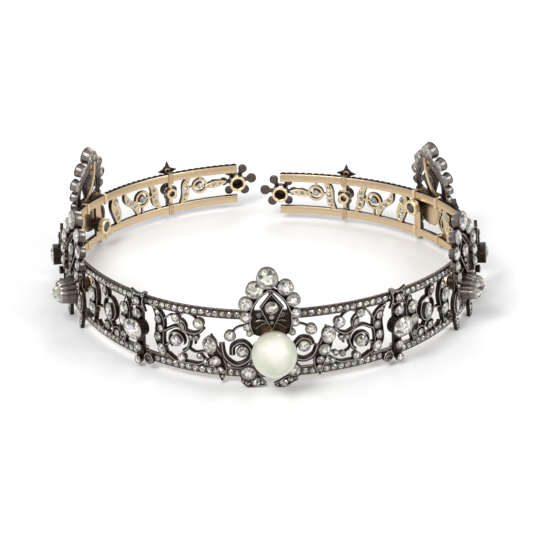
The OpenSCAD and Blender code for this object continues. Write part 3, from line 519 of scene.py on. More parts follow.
def curve(points, steps=6):
    # a smooth line through the points
    points = np.asarray(points, float)
    ends = np.concatenate([points[:1], points, points[-1:]])
    line = []
    for a, b, c, d in zip(ends, ends[1:], ends[2:], ends[3:]):
        for t in np.arange(steps) / steps:
            bend = (2 * a - 5 * b + 4 * c - d) * t ** 2 + (3 * b - a - 3 * c + d) * t ** 3
            line.append((2 * b + (c - a) * t + bend) / 2)
    return np.array(line + [points[-1]])


def arcPath(radius, start, end, centre=(0, 0), step=12):
    count = max(4, int(abs(end - start) / step) + 1)
    path = [polar(radius, a) for a in np.linspace(start, end, count)]
    return [(centre[0] + x, centre[1] + y) for x, y in path]


# Stones

def sparkle(low=0.25, high=1.0):
    # the painted reflection or glint of one facet: now and then a dark one
    return low + (high - low) * dice.random() ** 0.8 if dice.random() > 0.12 else 0.02 + 0.12 * dice.random()


def roseStone(bench, spot, wide, high, level, tall):
    # a flat-backed stone with six facets at its tip
    sides = 6
    around = 2 * sides
    points = [(0, 0, level + tall)]
    turn = dice.random() * math.pi
    for share, lift, count in ((0.27, 0.76, sides), (0.5, 0.16, around), (0.47, 0.0, around)):
        for i in range(count):
            a = turn + 2 * math.pi * i / count
            points.append((share * wide * math.cos(a), share * high * math.sin(a), level + tall * lift))
    faces = []
    low, lowest = 1 + sides, 1 + sides + around
    for i in range(sides):
        inner, nextInner = 1 + i, 1 + (i + 1) % sides
        left, mid, right = low + (2 * i - 1) % around, low + 2 * i, low + (2 * i + 1) % around
        faces += [[0, inner, nextInner], [inner, left, mid], [inner, mid, right], [inner, right, nextInner]]
    for j in range(around):
        k = (j + 1) % around
        faces.append([lowest + j, lowest + k, low + k, low + j])
    faces.append([lowest + j for j in range(around)][::-1])
    bench.add(spot, points, faces, "stone", [sparkle() for face in faces], soft=False)


def oldStone(bench, spot, wide, high, girdle, crown, pavilion, square=2.3, table=0.5):
    # an old-cut stone: table, eight stars, eight kites, sixteen girdle facets and a deep back
    def outline(share, level, count, turn):
        row = []
        for i in range(count):
            a = turn + 2 * math.pi * i / count
            c, s = math.cos(a), math.sin(a)
            bulge = (abs(c) ** square + abs(s) ** square) ** (-1 / square)
            row.append((share * wide / 2 * bulge * c, share * high / 2 * bulge * s, level))
        return row

    step = math.pi / 8
    points = outline(table, girdle + crown, 8, step) + outline(0.72, girdle + crown * 0.62, 8, 0)
    points += outline(1, girdle + 0.05, 16, step) + outline(1, girdle - 0.05, 16, step)
    points += outline(0.16, girdle - pavilion, 8, step)
    star, upper, lower, deep = 8, 16, 32, 48
    faces = [list(range(8))]
    for i in range(8):
        j = (i + 1) % 8
        a, b, c = upper + 2 * i, upper + (2 * i + 1) % 16, upper + (2 * i + 2) % 16
        faces += [[i, star + j, j], [i, star + i, a, star + j], [star + j, a, b], [star + j, b, c]]
    for i in range(16):
        j = (i + 1) % 16
        faces.append([lower + i, lower + j, upper + j, upper + i])
    for i in range(8):
        a, b, c = lower + 2 * i, lower + (2 * i + 1) % 16, lower + (2 * i + 2) % 16
        faces += [[deep + i, b, a], [deep + i, c, b], [deep + i, deep + (i + 1) % 8, c]]
    faces.append([deep + i for i in range(8)][::-1])
    # the table takes a bright painted reflection, and the other facets painted reflections and glints from
    # sparkle
    tones = [0.8 + 0.2 * dice.random()] + [sparkle() for face in faces[1:]]
    bench.add(spot, points, faces, "stone", tones, soft=False)


# Settings

settingLook = {
    "rim": 0.26, "lip": 0.12, "backRim": 0.5, "clawRadius": 0.22, "clawPitch": 1.5, "lipHigh": 0.12,
    "ribDepth": 0.07,
}


def setting(bench, spot, wide, high, foot, mouth, claws=True, stone="old", taper=0.1, sides=20, ribs=0,
            wall=0.05, under="gold", rim=None):
    # a collet with a bright lip round its stone, open behind; ribs ridge its wall, which wall makes brighter
    # as painted light
    look = settingLook
    narrow = taper * wide
    rim = rim or look["rim"]
    lip = rim - look["lip"]
    back = narrow + look["backRim"]
    rows = [
        (back, foot, under, 0.4, 0), (narrow + 0.08, foot, under, 0.9, 0),
        (narrow, foot + 0.1, under, 0.5, 0), (narrow * 0.9, foot + 0.2, "silver", wall, ribs),
        (narrow * 0.1, mouth - 0.5, "silver", wall, ribs),
        (0, mouth - 0.2, "silver", 0.2, 0), (0.1, mouth - 0.04, "silver", 0.4, 0),
        (lip, mouth - 0.02, "silver", 0.16, 0), (lip + 0.03, mouth, "silver", 0.9, 0),
        (rim, mouth, "silver", 1.0, 0), (rim + 0.04, mouth - 0.22, "silver", 0.2, 0),
        (rim + 0.3, mouth - 0.5, "silver", 0.0, 0), (back, foot, "silver", 0.0, 0),
    ]
    stack(bench, spot, [(ellipse(wide, high, inset, sides, ribbed, look["ribDepth"]), level, finish, wear)
                        for inset, level, finish, wear, ribbed in rows])
    size = wide - 2 * rim - 0.04, high - 2 * rim - 0.04
    if stone == "old":
        deep = min(0.45 * min(size), mouth - foot - 0.2)
        oldStone(bench, spot, *size, mouth - 0.16, 0.13 * min(size) + 0.12, deep)
    elif stone == "rose":
        roseStone(bench, spot, *size, mouth - 0.34, 0.2 * min(size) + 0.3)
    if claws:
        count = max(5, round(math.pi * (wide + high) / 2 / look["clawPitch"]))
        turn = dice.random()
        for i in range(count):
            a = turn + 2 * math.pi * i / count
            centre = ((wide / 2 - rim) * math.cos(a), (high / 2 - rim) * math.sin(a), mouth - 0.02)
            ball(bench, spot, centre, look["clawRadius"], wear=0.75, squash=0.9)


def stoneBack(bench, spot, wide, high, level):
    # the underside of a stone, its facets painted with reflections, in a gold lip pale from wear and a
    # painted highlight, seen from inside the ring
    proud = level - settingLook["lipHigh"]
    oval(bench, spot, wide, high, [
        (0.36, level - 0.02, "silver", 0.0), (0.26, proud, "gold", 0.9), (0.08, proud, "gold", 1.0),
        (0, level + 0.3, "gold", 0.6),
    ], 14, back=("silver", 0.0))
    outer = ellipse(wide, high, 0.34, 8)
    points = [(x, y, level - 0.03) for x, y in outer] + [(0.45 * x, 0.45 * y, level - 0.1) for x, y in outer]
    faces = [[8 + i, 8 + (i + 1) % 8, (i + 1) % 8, i] for i in range(8)] + [list(range(8, 16))[::-1]]
    bench.add(spot, points, faces, "stone", [sparkle(0.2, 0.9) for face in faces], soft=False)


# Leaves

leafLook = {"rim": 0.2, "dish": 0.3, "back": -1.4, "front": 0.5, "gap": 0.24, "tip": 0.25, "smallest": 0.8}


def leafHalf(t, wide):
    tip = leafLook["tip"]
    return tip + (wide / 2 - tip) * math.sin(math.pi * t) ** 0.8 if 0 < t < 1 else tip


def leafSpine(t, long, curl):
    return curl * math.sin(2 * math.pi * t), long * (t - 0.5)


def leafOutline(long, wide, curl, inset=0.0, steps=12):
    left, right = [], []
    for i in range(steps + 1):
        t = i / steps
        x, y = leafSpine(t, long - 1.2 * inset, curl)
        half = max(0.03, leafHalf(t, wide) - inset)
        left.append((x + half, y))
        right.append((x - half, y))
    return left + right[::-1]


def leaf(bench, spot, long, wide, curl, back, front):
    rim, dish = leafLook["rim"], leafLook["dish"]
    rows = [
        (0.1, back, "gold", 0.5), (0.0, back + 0.1, "gold", 0.9), (0.0, back + 0.16, "silver", 0.1),
        (0.0, front - 0.12, "silver", 0.04), (0.08, front, "silver", 0.6), (rim, front, "silver", 1.0),
        (rim + 0.06, front - dish, "silver", 0.1),
    ]
    stack(bench, spot, [(leafOutline(long, wide, curl, inset), *rest) for inset, *rest in rows],
          back=("gold", 0.5), front=("silver", 0.0))


def leafStones(bench, spot, long, wide, curl, taken, level, back=None):
    # fills a leaf with graduated stones from tip to tip, past the places already taken
    look = leafLook
    t = 0.06
    while t < 0.95:
        size = 2 * leafHalf(t, wide) - 2 * look["rim"] - 0.1
        nextT = t + (size / 2) / long
        size = min(size, 2 * leafHalf(min(0.99, nextT), wide) - 0.5)
        size = max(size, look["smallest"])
        place = leafSpine(min(1, t + size / 2 / long), long, curl)
        far = [math.dist(place, hole[:2]) - hole[2] / 2 - size / 2 for hole in taken]
        if all(gap > -0.1 for gap in far):
            roseStone(bench, spot.moved(*place), size, size * 1.05, level - 0.32, 0.25 * size + 0.35)
            if back is not None and size > 1.3:
                stoneBack(bench, spot.moved(*place), size + 0.3, size * 1.05 + 0.3, back)
            t += (size + look["gap"]) / long
        else:
            t += 0.3 / long


# Rails

railLook = {
    "high": 3.0, "thick": 1.8, "pitch": 2.45, "step": 0.41, "scallop": 0.4, "stone": 2.24, "collet": 2.44,
    "grain": 0.2,
}


def railProfile(rise):
    # rows of (out, level, finish, wear and painted light) round a rail; rise lifts the scalloped front of
    # its top
    high, thick = railLook["high"], railLook["thick"]
    return [
        (-thick, 0.16, "gold", 0.5), (-thick + 0.14, 0.03, "gold", 0.8), (-1.2, 0.03, "gold", 0.4),
        (-0.14, 0.0, "silver", 0.15), (0.0, 0.14, "silver", 0.7), (0.0, 0.5, "silver", 0.3),
        (-0.22, 0.62, "silver", 0.1), (-0.22, high - 0.62, "silver", 0.0), (0.0, high - 0.5, "silver", 0.1),
        (0.0, high - 0.14 + rise, "silver", 0.1), (-0.14, high + rise, "silver", 0.3),
        (-0.5, high + rise, "silver", 0.15), (-0.62, high, "silver", 0.05),
        (-thick + 0.42, high, "silver", 0.06), (-thick + 0.34, high + 0.03, "silver", 0.3),
        (-thick + 0.12, high, "silver", 0.4),
        (-thick, high - 0.2, "gold", 0.8),
    ]


def railRing(side, s, corners, upper):
    # the corners (out, level) of a shape across a rail, at s
    out, level = np.array([corner[:2] for corner in corners], float).T
    s = np.full(len(out), s)
    if not upper:
        x, y, turn = planAt(side, s, ring["lean"] + out)
        return toRow(side, x, y, ring["foot"] + level)
    x, y, turn = planAt(side, s, out)
    drop = level - railLook["high"]
    reach = y + ring["frontY"]
    back = reach * math.cos(tiltAngle) + drop * math.sin(tiltAngle)
    z = ring["foot"] + ring["high"] - reach * math.sin(tiltAngle) + drop * math.cos(tiltAngle)
    return toRow(side, x, back - ring["frontY"], z)


def rail(bench, side, start, end, upper, pitch):
    count = max(2, round((end - start) / railLook["step"]))
    points = []
    for s in np.linspace(start, end, count + 1):
        phase = ((s - start) / pitch) % 1.0 * 2 - 1
        rise = railLook["scallop"] * math.sqrt(max(0.0, 1 - phase * phase)) if upper else 0.0
        points.append(railRing(side, s, railProfile(rise), upper))
    profile = railProfile(0)
    size = len(profile)
    faces = quads(count + 1, size) + [list(range(size)), [count * size + k for k in range(size)][::-1]]
    finishes = [row[2] for row in profile[1:] + profile[:1]] * count + ["gold", "gold"]
    wearAndPaintedLightValues = [row[3] for row in profile[1:] + profile[:1]] * count + [0.4, 0.4]
    bench.put(np.concatenate(points), faces, finishes, wearAndPaintedLightValues, side > 0)


def railSpot(side, s, upper):
    v = heightAt(side, s) - railLook["high"] / 2 if upper else railLook["high"] / 2
    w = v * math.tan(leanAngle) - ring["lean"] if upper else 0.0
    return Spot(side, s, v, w)


def railRow(bench, side, start, end, upper):
    # one rail of a section, with its row of small stones and the grains between them
    look = railLook
    count = max(1, round((end - start) / look["pitch"]))
    pitch = (end - start) / count
    rail(bench, side, start, end, upper, pitch)
    for i in range(count):
        s = start + (i + 0.5) * pitch
        spot = railSpot(side, s, upper)
        oval(bench, spot, look["collet"], look["collet"] + 0.1, [
            (0.0, -0.3, "silver", 0.1), (0.0, -0.02, "silver", 0.1), (0.04, 0.04, "silver", 0.45),
            (0.1, 0.04, "silver", 0.5), (0.14, -0.2, "silver", 0.0),
        ], 12)
        roseStone(bench, spot, look["stone"] + 0.06 * dice.random(), look["stone"] + 0.14, -0.2,
                  0.7 + 0.1 * dice.random())
        for v in (-0.84, 0.84):
            ball(bench, spot, (pitch / 2, v, 0.02), look["grain"], wear=0.8)
        ball(bench, spot, (pitch / 2, 0, -0.1), look["grain"] * 0.8, wear=0.5)


def roundRails(bench, side, s, steps, edges, soft, caps):
    # a band bound round both rails: steps of (along, proud, wear and painted light), with the finish of each
    # of its edges
    high, thick = railLook["high"], railLook["thick"]
    for upper in (False, True):
        points = []
        for along, proud, wear in steps:
            corners = box(-thick - proud, -proud, proud, high + proud)
            points.append(railRing(side, s + along, corners, upper))
        faces = quads(len(steps), 4)
        finishes = edges * (len(steps) - 1)
        wearAndPaintedLightValues = [wear for along, proud, wear in steps[1:] for k in range(4)]
        if caps:
            faces += [[0, 1, 2, 3], [15, 14, 13, 12]]
            finishes += ["gold", "gold"]
            wearAndPaintedLightValues += [0.8, 0.8]
        bench.put(np.concatenate(points), faces, finishes, wearAndPaintedLightValues, side > 0, soft)


# Pierced panels. Columns of a pattern, in millimetres from the motif that it starts at, as drawn for
# a stretch of the band that is as long as drawn says:
# leaves [u, v, length, width, curl, turn], where a length of 0 reaches from rail to rail
# scrolls [u, v, radius, from angle, to angle]; loops [u, v, width, height]
# settings [u, v, width, height, turn], with no height where they are round and no turn where upright
# strips [width, points of a smooth line]
frontRight = {
    "drawn": 44.5,
    "leaves": [[17.3, 8.4, 17.8, 4.8, -0.8, -9], [37.5, 11.9, 18.5, 4.4, 1.6, -19.5],
               [28.9, 17, 4.8, 2.6, 0, -20]],
    "scrolls": [[30.8, 9.5, 3, -60, 200]],
    "loops": [],
    "settings": [[19.2, 14, 5, 6, -8], [17.6, 8.9, 4.2], [16.1, 5.4, 2.8], [15.8, 2.6, 2.2], [23, 17.9, 4.1],
                 [30.6, 19.8, 3.2, 3.2, 45], [28.9, 16.8, 2, 3, -20], [23.5, 12.3, 2], [25.6, 12.1, 2],
                 [30.8, 9.5, 4.4], [28.9, 4.4, 3], [21.5, 6.9, 2.2], [23.9, 6.2, 2.2], [20.3, 4.4, 2.2],
                 [37.8, 17.2, 2.8, 3], [36.9, 14, 2.8, 3], [37.6, 10.2, 3, 3.4],
                 [36.6, 6.1, 3.4, 4.4, -15]],
    "strips": [[0.7, [[23.8, 19.2], [24.8, 20.3], [26.9, 21.2], [29.6, 20.4]]],
               [0.7, [[31.8, 20.4], [33.4, 19.8], [34.8, 18.1], [36.2, 15.4]]],
               [1.3, [[21.4, 16.2], [23.2, 14.2], [25.7, 13.4], [28.6, 14.6]]],
               [1.3, [[35.6, 12.8], [34.4, 13.6], [31.5, 15], [28.3, 14.1], [26.4, 11.4], [27.2, 8.2],
                      [28.8, 6.6]]],
               [1, [[34.4, 4.4], [30.7, 2.8], [26.5, 3.1], [22.6, 3.4], [18.4, 6.4]]],
               [0.8, [[18.6, 8], [21.5, 6.9], [23.9, 6.2], [26.2, 7], [27.4, 8.6]]],
               [0.9, [[36.8, 8], [35.2, 7.6], [33.6, 8.8]]],
               [0.8, [[24.6, 13.6], [24.6, 9.9]]], [1, [[30.8, 9.5], [33.6, 8.6]]]],
}
frontLeft = {
    "drawn": 47.5,
    "leaves": [[18.5, 6.4, 17, 4.8, -0.8, -13], [39.5, 12.6, 19, 4.2, 1.5, -19],
               [30.4, 16.4, 4.8, 2.6, 0, -20]],
    "scrolls": [[32.8, 10.6, 3, -60, 200]],
    "loops": [],
    "settings": [[20.6, 11.2, 5, 6.2, -10], [18.5, 5.6, 3.6], [17, 2.4, 2.4], [24.4, 18.4, 4],
                 [32.8, 19, 3.2, 3.2, 45], [30.4, 16.2, 2, 3, -20], [25.2, 13, 2], [27.3, 12.8, 2],
                 [32.8, 10.6, 4.2], [30.8, 4.6, 3.2], [24.2, 6.5, 2.2], [22.2, 4.7, 2.2],
                 [39.8, 16.8, 2.8, 3], [38.8, 13.7, 2.6, 2.8], [40.1, 10.4, 3, 3.2],
                 [38.5, 6, 3.2, 4.6, -15]],
    "strips": [[0.7, [[25.4, 19.6], [27, 20.8], [29.6, 21.1], [31.8, 19.8]]],
               [0.7, [[34, 19.4], [35.9, 18.9], [38.4, 16.6]]],
               [1.3, [[22.8, 16.8], [24.6, 14.9], [27.1, 14.3], [30, 14.8]]],
               [1.3, [[37.4, 13], [35.8, 14.2], [32.9, 15.6], [29.7, 14.5], [27.9, 12], [28.4, 8.8],
                      [30.4, 7]]],
               [1, [[36.4, 4.8], [33, 3], [28.5, 3.2], [24.4, 3.4], [19.8, 6.2]]],
               [0.8, [[19.4, 7.6], [22.6, 8.1], [26, 7.3], [28.8, 8.6]]],
               [0.8, [[21.4, 3.6], [24.4, 7.4]]],
               [0.9, [[38.8, 8.2], [37.2, 7.8], [35.7, 9]]],
               [0.8, [[26.3, 14.4], [26, 10.4]]], [1, [[32.8, 10.6], [35.6, 9.7]]]],
}
sideFront = {
    "drawn": 37,
    "leaves": [[7.6, 12, 0, 4.8, 0.5, 6], [25.2, 11, 0, 5.2, 0.8, 2], [17.4, 18.4, 5.6, 3, 0, -20]],
    "scrolls": [[16, 5.4, 2.6, 20, 300], [11.4, 4.8, 2.2, 0, 250], [20.6, 5.6, 2.6, 200, 340]],
    "loops": [[15.2, 12.4, 8, 9.4]],
    "settings": [[7.4, 16, 4.6, 4.8], [8, 11, 4, 4.2], [15.2, 11.4, 4, 6.4], [17.3, 18.7, 2.6, 3.2],
                 [25.4, 13.6, 5, 5.6], [25.2, 8.4, 4.6], [16.2, 5.8, 3], [11.2, 4.9, 2.8]],
    "strips": [[0.8, [[19, 11], [23.2, 10]]], [0.8, [[8, 6], [11.4, 4.8]]],
               [0.8, [[16.2, 5.6], [18.6, 6.2]]], [0.8, [[26.8, 6.2], [32, 4]]]],
}
sideBack = {
    "drawn": 27,
    "leaves": [[11.8, 11, 0, 4.6, 0.8, -2], [21.4, 11, 0, 3.6, 0.6, -6]],
    "scrolls": [[15.6, 5.4, 2.6, 200, 520]],
    "loops": [[17, 12.2, 6.6, 9]],
    "settings": [[11.9, 13.6, 4.4, 5.2], [11.6, 8.4, 4], [16.6, 11, 3.6, 6], [15.8, 5.6, 3],
                 [21.4, 14.6, 3, 4.6]],
    "strips": [[0.8, [[11.4, 6.4], [13.8, 5.4]]], [0.8, [[15.8, 5.5], [18.2, 5.4]]]],
}
backFront = {
    "drawn": 35,
    "leaves": [[8.4, 10, 0, 4.4, 0.9, 4], [24.6, 10, 0, 4.2, -0.9, -6]],
    "scrolls": [[15.8, 9.4, 3.6, 20, 340], [20.6, 6.4, 3.2, 200, 350]],
    "loops": [],
    "settings": [[8.6, 13.8, 3, 4.4], [8.3, 7.6, 4, 4.6], [15.2, 9.4, 4.2], [24.4, 12.6, 3.8, 4.4],
                 [24.2, 7.6, 3, 3.2]],
    "strips": [[0.8, [[15.2, 9.4], [9.6, 8.6]]], [0.8, [[19.2, 9.2], [23.4, 10]]]],
}
backBack = {
    "drawn": 37.5,
    "leaves": [[12.4, 9, 0, 4.4, 0.5, 8], [20.2, 8.4, 0, 3, 0.9, 28], [31, 8.6, 0, 3.2, -0.8, 24]],
    "scrolls": [[25.4, 8.8, 2.9, 0, 360]],
    "loops": [],
    "settings": [[12.2, 12, 3.4, 3.8], [12.6, 7.6, 3, 3.4], [25.4, 8.8, 3.6], [30.6, 8.8, 2.6, 3]],
    "strips": [[0.8, [[21, 8.6], [23, 8.8]]], [0.8, [[25.4, 8.8], [30, 8.7]]],
               [0.8, [[25.4, 6], [25.4, 2.6]]]],
}
endRun = {
    "drawn": 25.5,
    "leaves": [[6, 8.4, 0, 3.2, 0.8, -22], [17.4, 8.6, 8.6, 2.8, 0, 96]],
    "scrolls": [[11.6, 8.8, 2.7, 0, 360]],
    "loops": [],
    "settings": [[6.2, 8.8, 2.8, 3.2], [11.6, 8.8, 3.2], [17, 8.7, 2.6]],
    "strips": [[0.8, [[7, 8.8], [11.6, 8.8]]], [0.8, [[11.6, 11.2], [11.6, 14.4]]]],
}

panelLook = {
    "ribbonWide": 1.0, "ribbonBack": -1.3, "ribbonFront": 0.6, "thinFront": 0.3, "mouth": 1.0, "foot": -1.2,
    "leafReach": 2.2, "openBack": 0.92,
}


def panel(bench, side, start, stretch, pattern):
    look = panelLook
    settings = [[*row, row[2], 0][:5] if len(row) == 3 else [*row, 0][:5] for row in pattern["settings"]]
    for u, v, long, wide, curl, turn in pattern["leaves"]:
        s = start + u * stretch
        high = heightAt(side, s)
        reach = long or high - 2 * railLook["high"] + look["leafReach"]
        level = v if long else high / 2
        spot = Spot(side, s, level, 0, turn)
        leaf(bench, spot, reach, wide, curl, leafLook["back"], leafLook["front"])
        c, t = polar(1, turn)
        taken = []
        for holeU, holeV, holeWide, holeHigh, holeTurn in settings:
            dx, dy = start + holeU * stretch - s, holeV - level
            taken.append((dx * c + dy * t, -dx * t + dy * c, (holeWide + holeHigh) / 2))
        leafStones(bench, spot, reach, wide, curl, taken, leafLook["front"], leafLook["back"])
    for u, v, radius, first, last in pattern["scrolls"]:
        whole = abs(last - first) >= 360
        path = arcPath(radius, first, last - (12 if whole else 0))
        ribbon(bench, Spot(side, start + u * stretch, v), path, look["ribbonWide"], look["ribbonBack"],
               look["ribbonFront"], closed=whole, ends=None if whole else 0.5)
    for u, v, wide, high in pattern["loops"]:
        ribbon(bench, Spot(side, start + u * stretch, v), ellipse(wide - 0.9, high - 0.9, sides=28), 0.8,
               look["ribbonBack"], look["ribbonFront"], closed=True)
    for wide, places in pattern["strips"]:
        path = curve([(stretch * u, v) for u, v in places])
        ribbon(bench, Spot(side, start), path, wide, look["ribbonBack"],
               look["ribbonFront"] if wide > 0.9 else look["thinFront"])
    for u, v, wide, high, turn in settings:
        spot = Spot(side, start + u * stretch, v, 0, turn)
        setting(bench, spot, wide, high, look["foot"], look["mouth"], claws=wide >= 3.2,
                stone="old" if min(wide, high) > 3 else "rose")
        if wide > 2.3:
            stoneBack(bench, spot, look["openBack"] * wide, look["openBack"] * high, leafLook["back"])


# Crests' places: side, s, u and v of the post, v of the pearl or fluted setting, drop and lean of the arch
crestPlaces = {
    "Front": (1, 0, 0, 12.7, 12.7, 0, 0),
    "Right": (1, 81.5, 0, 12.6, 12.2, 2, 9),
    "Left": (-1, 89, 0, 11, 9.8, 2, 9),
    "BackRight": (1, 151, 4.6, 12.4, 10, 3.4, 9),
    "BackLeft": (-1, 151, 1.6, 7, 9.4, 3.4, 9),
}
postLook = {
    "bossRadius": 2.7, "bossFoot": -3.1, "hole": 1.75, "nutRadius": 3.0, "nutLength": 2.1, "nutGap": 0.15,
    "half": 1.6, "edge": 1.5, "wide": 3.2,
}


def postPlate(bench, name):
    # the upright behind a crest's post, with its boss
    look = postLook
    side, s, u, v, flute, drop, lean = crestPlaces[name]
    high = heightAt(side, s)
    spot = Spot(side, s, flat=True)
    upright = box(u - look["half"], look["edge"], u + look["half"], high - look["edge"])
    plate(bench, spot, upright, -1.7, -0.7, 0.1, ("gold", 0.4))
    boss, hole, foot = look["bossRadius"], look["hole"], look["bossFoot"]
    turned(bench, spot.moved(u, v), [
        (hole, -0.9, "silver", 0), (hole, foot, "silver", 0.0), (boss - 0.2, foot, "silver", 0.35),
        (boss, foot + 0.2, "silver", 0.5), (boss, -0.9, "silver", 0.05),
    ])


starLook = {"half": 0.36, "rim": 0.26, "stone": 0.9, "stoneAt": 0.55}


def starRing(reach, waist, inset=0.0):
    outline = []
    for i in range(16):
        r = reach if i % 4 == 0 else waist if i % 4 == 2 else (reach + waist) * starLook["half"]
        r -= inset * (1.6 if i % 4 == 0 else 1)
        outline.append((r * math.cos(math.pi / 8 * i), r * math.sin(math.pi / 8 * i)))
    return outline


def starPlate(bench, spot, reach, waist, back, front):
    # a plate with four points and a small stone in each
    look = starLook
    rows = [(0, back, "silver", 0.2), (0, front - 0.1, "silver", 0.1), (0.08, front, "silver", 1.0),
            (look["rim"], front, "silver", 1.0), (look["rim"] + 0.06, front - 0.22, "silver", 0.05)]
    stack(bench, spot, [(starRing(reach, waist, inset), *rest) for inset, *rest in rows],
          back=("silver", 0.2), front=("silver", 0.0))
    for a in range(0, 360, 90):
        place = spot.moved(*polar(look["stoneAt"] * reach, a))
        roseStone(bench, place, look["stone"], look["stone"], front - 0.3, 0.5)


# The bands' sections. Thin gold wires are bound round the rails beside the back crests.
sectionLook = {
    "wires": (145, 157), "star": (135, 2.8, 1.5),
    "wire": [(-0.7, 0.25, 0.8), (-0.5, 0.45, 0.8), (0.5, 0.45, 0.8), (0.7, 0.25, 0.8)],
}


def bandSection(name, runs, crest=None, wired=False):
    # runs of (side, first bend, patterns of the bends that the section takes up)
    bench = Bench(name)
    for side, first, patterns in runs:
        last = first + len(patterns)
        start = runTo(side, first) + (ring["gap"] / 2 if first else 0)
        end = runTo(side, last) - (ring["gap"] / 2 if last < len(ring["bends"][side]) else 0)
        for upper in (False, True):
            railRow(bench, side, start, end, upper)
    for side, first, patterns in runs:
        for k, pattern in enumerate(patterns, first):
            panel(bench, side, runTo(side, k), ring["bends"][side][k][0] / pattern["drawn"], pattern)
    if crest:
        postPlate(bench, crest)
    if wired:
        for s in sectionLook["wires"]:
            roundRails(bench, side, s, sectionLook["wire"], ["gold"] * 4, soft=True, caps=True)
        s, reach, waist = sectionLook["star"]
        starPlate(bench, Spot(side, s, heightAt(side, s) + 0.2), reach, waist, -0.9, 0.6)
    band = nodeEnd(name)
    bench.finish(silver=[band], stone=[band.replace("band", "stones")])


bandSection("bandFront", [(1, 0, [frontRight]), (-1, 0, [frontLeft])], "Front")
for side, word in ((1, "Right"), (-1, "Left")):
    bandSection("bandSide" + word, [(side, 1, [sideFront, sideBack])], word)
    bandSection("bandBack" + word, [(side, 3, [backFront, backBack])], "Back" + word, wired=True)
    bandSection("bandEnd" + word, [(side, 5, [endRun])])
print("band sections made")

# Connectors. Rows of settings: v or None, v from the top or None, width, height, foot, mouth

connectorLook = {
    "sleeve": [(-0.9, 0.12, 0.9), (-0.9, 0.44, 0.9), (-0.74, 0.62, 0.9), (0.74, 0.62, 0.2), (0.9, 0.44, 0.9),
               (0.9, 0.12, 0.9)],
    "settings": [(None, -1.2, 2.9, 2.9, 0.6, 2.6), (None, -6.0, 4.0, 4.0, 0.6, 2.7),
                 (12.3, None, 8.6, 7.4, 0.6, 4.8), (4.9, None, 3.6, 3.2, 0.6, 2.7),
                 (0.0, None, 3.0, 3.0, 0.7, 2.9)],
    "sideSettings": [(None, -1.2, 2.9, 2.9, 0.6, 2.6), (None, -3.9, 2.6, 2.6, 0.6, 2.6),
                     (11.2, None, 8.6, 7.4, 0.6, 4.8), (4.9, None, 3.2, 3.0, 0.6, 2.7),
                     (0.0, None, 3.0, 3.0, 0.7, 2.9)],
    "backSettings": [(None, 0.6, 2.9, 2.9, 0.6, 2.6), (8.4, None, 5, 5, 0.6, 3.2)],
    "disc": (-4.4, 1.4, 2.0), "ribs": 22, "bar": (0.7, 3.3), "plateV": 8.4, "petalAt": 1.7,
}


def nutPlate(bench, spot, high):
    # a pierced plate of four petals round a gold tube, on a bar behind the stem
    half, edge = connectorLook["bar"]
    bar = box(-half, edge, half, high - edge)
    plate(bench, spot, bar, -1.4, 0.4, 0.1, ("gold", 0.6))
    centre = spot.moved(0, connectorLook["plateV"])
    for a in range(45, 360, 90):
        x, y = polar(connectorLook["petalAt"], a)
        turned(bench, spot.moved(x, connectorLook["plateV"] + y), [
            (1.4, -1.6, "silver", 0.3), (1.5, -1.5, "gold", 0.9), (1.5, -0.7, "silver", 0.1),
        ], 20, ("silver", 0.25), ("silver", 0))
    turned(bench, centre, [
        (1.2, -1.0, "gold", 0.2), (1.2, -2.7, "gold", 0.2), (1.45, -2.8, "gold", 1.0),
        (2.0, -2.8, "gold", 0.9), (2.1, -2.7, "gold", 0.7), (2.1, -1.2, "gold", 0.4),
    ])


def curlDisc(bench, spot):
    # a curl on a small plate beside the foot, on an arm
    u, v, r = connectorLook["disc"]
    place = spot.moved(u, v)
    oval(bench, place, 2 * r, 2 * r, [
        (0, 0.7, "silver", 0.1), (0, 1.9, "silver", 0.05), (0.06, 2.0, "silver", 1.0),
        (0.24, 2.0, "silver", 1.0), (0.3, 1.7, "silver", 0.05),
    ], 28, ("gold", 0.3), ("silver", 0.2))
    curl = [(0.35 * t * math.cos(t), 0.28 * t * math.sin(t)) for t in np.linspace(0.8, 5.2, 18)]
    ribbon(bench, place, curl, 0.5, 1.2, 2.0, worn=1.0, under="silver")
    plate(bench, spot, box(u, v - 0.7, 0, v + 0.7), 0.7, 1.2, 0.2, ("gold", 0.3))


def connector(name, side, k, settings, replaced, back=False):
    bench = Bench(name)
    s = runTo(side, k)
    high = heightAt(side, s)
    spot = Spot(side, s, flat=True)
    roundRails(bench, side, s, connectorLook["sleeve"], ["silver"] * 3 + ["gold"], soft=False, caps=False)
    half = 1.1 if back else 1.7
    plate(bench, spot, box(-half, 0.4, half, high - 0.4), 0.2, 1.3, 0.15, ("gold", 0.3))
    if back:
        starPlate(bench, spot.moved(0, high + 0.6), 3.8, 1.7, 0.7, 1.7)
    else:
        starPlate(bench, spot.moved(0, high - 1.2, turn=45), 4.8, 2.1, 0.7, 1.9)
    for v, fromTop, wide, tall, foot, mouth in settings:
        place = spot.moved(0, high + fromTop if v is None else v)
        form = {"taper": 0.02, "sides": 96, "ribs": connectorLook["ribs"]} if wide > 6 else {"sides": 18}
        setting(bench, place, wide, tall, foot, mouth, claws=wide > 3, **form)
    if back:
        nutPlate(bench, spot, high)
    else:
        curlDisc(bench, spot)
    bench.finish(**replaced)


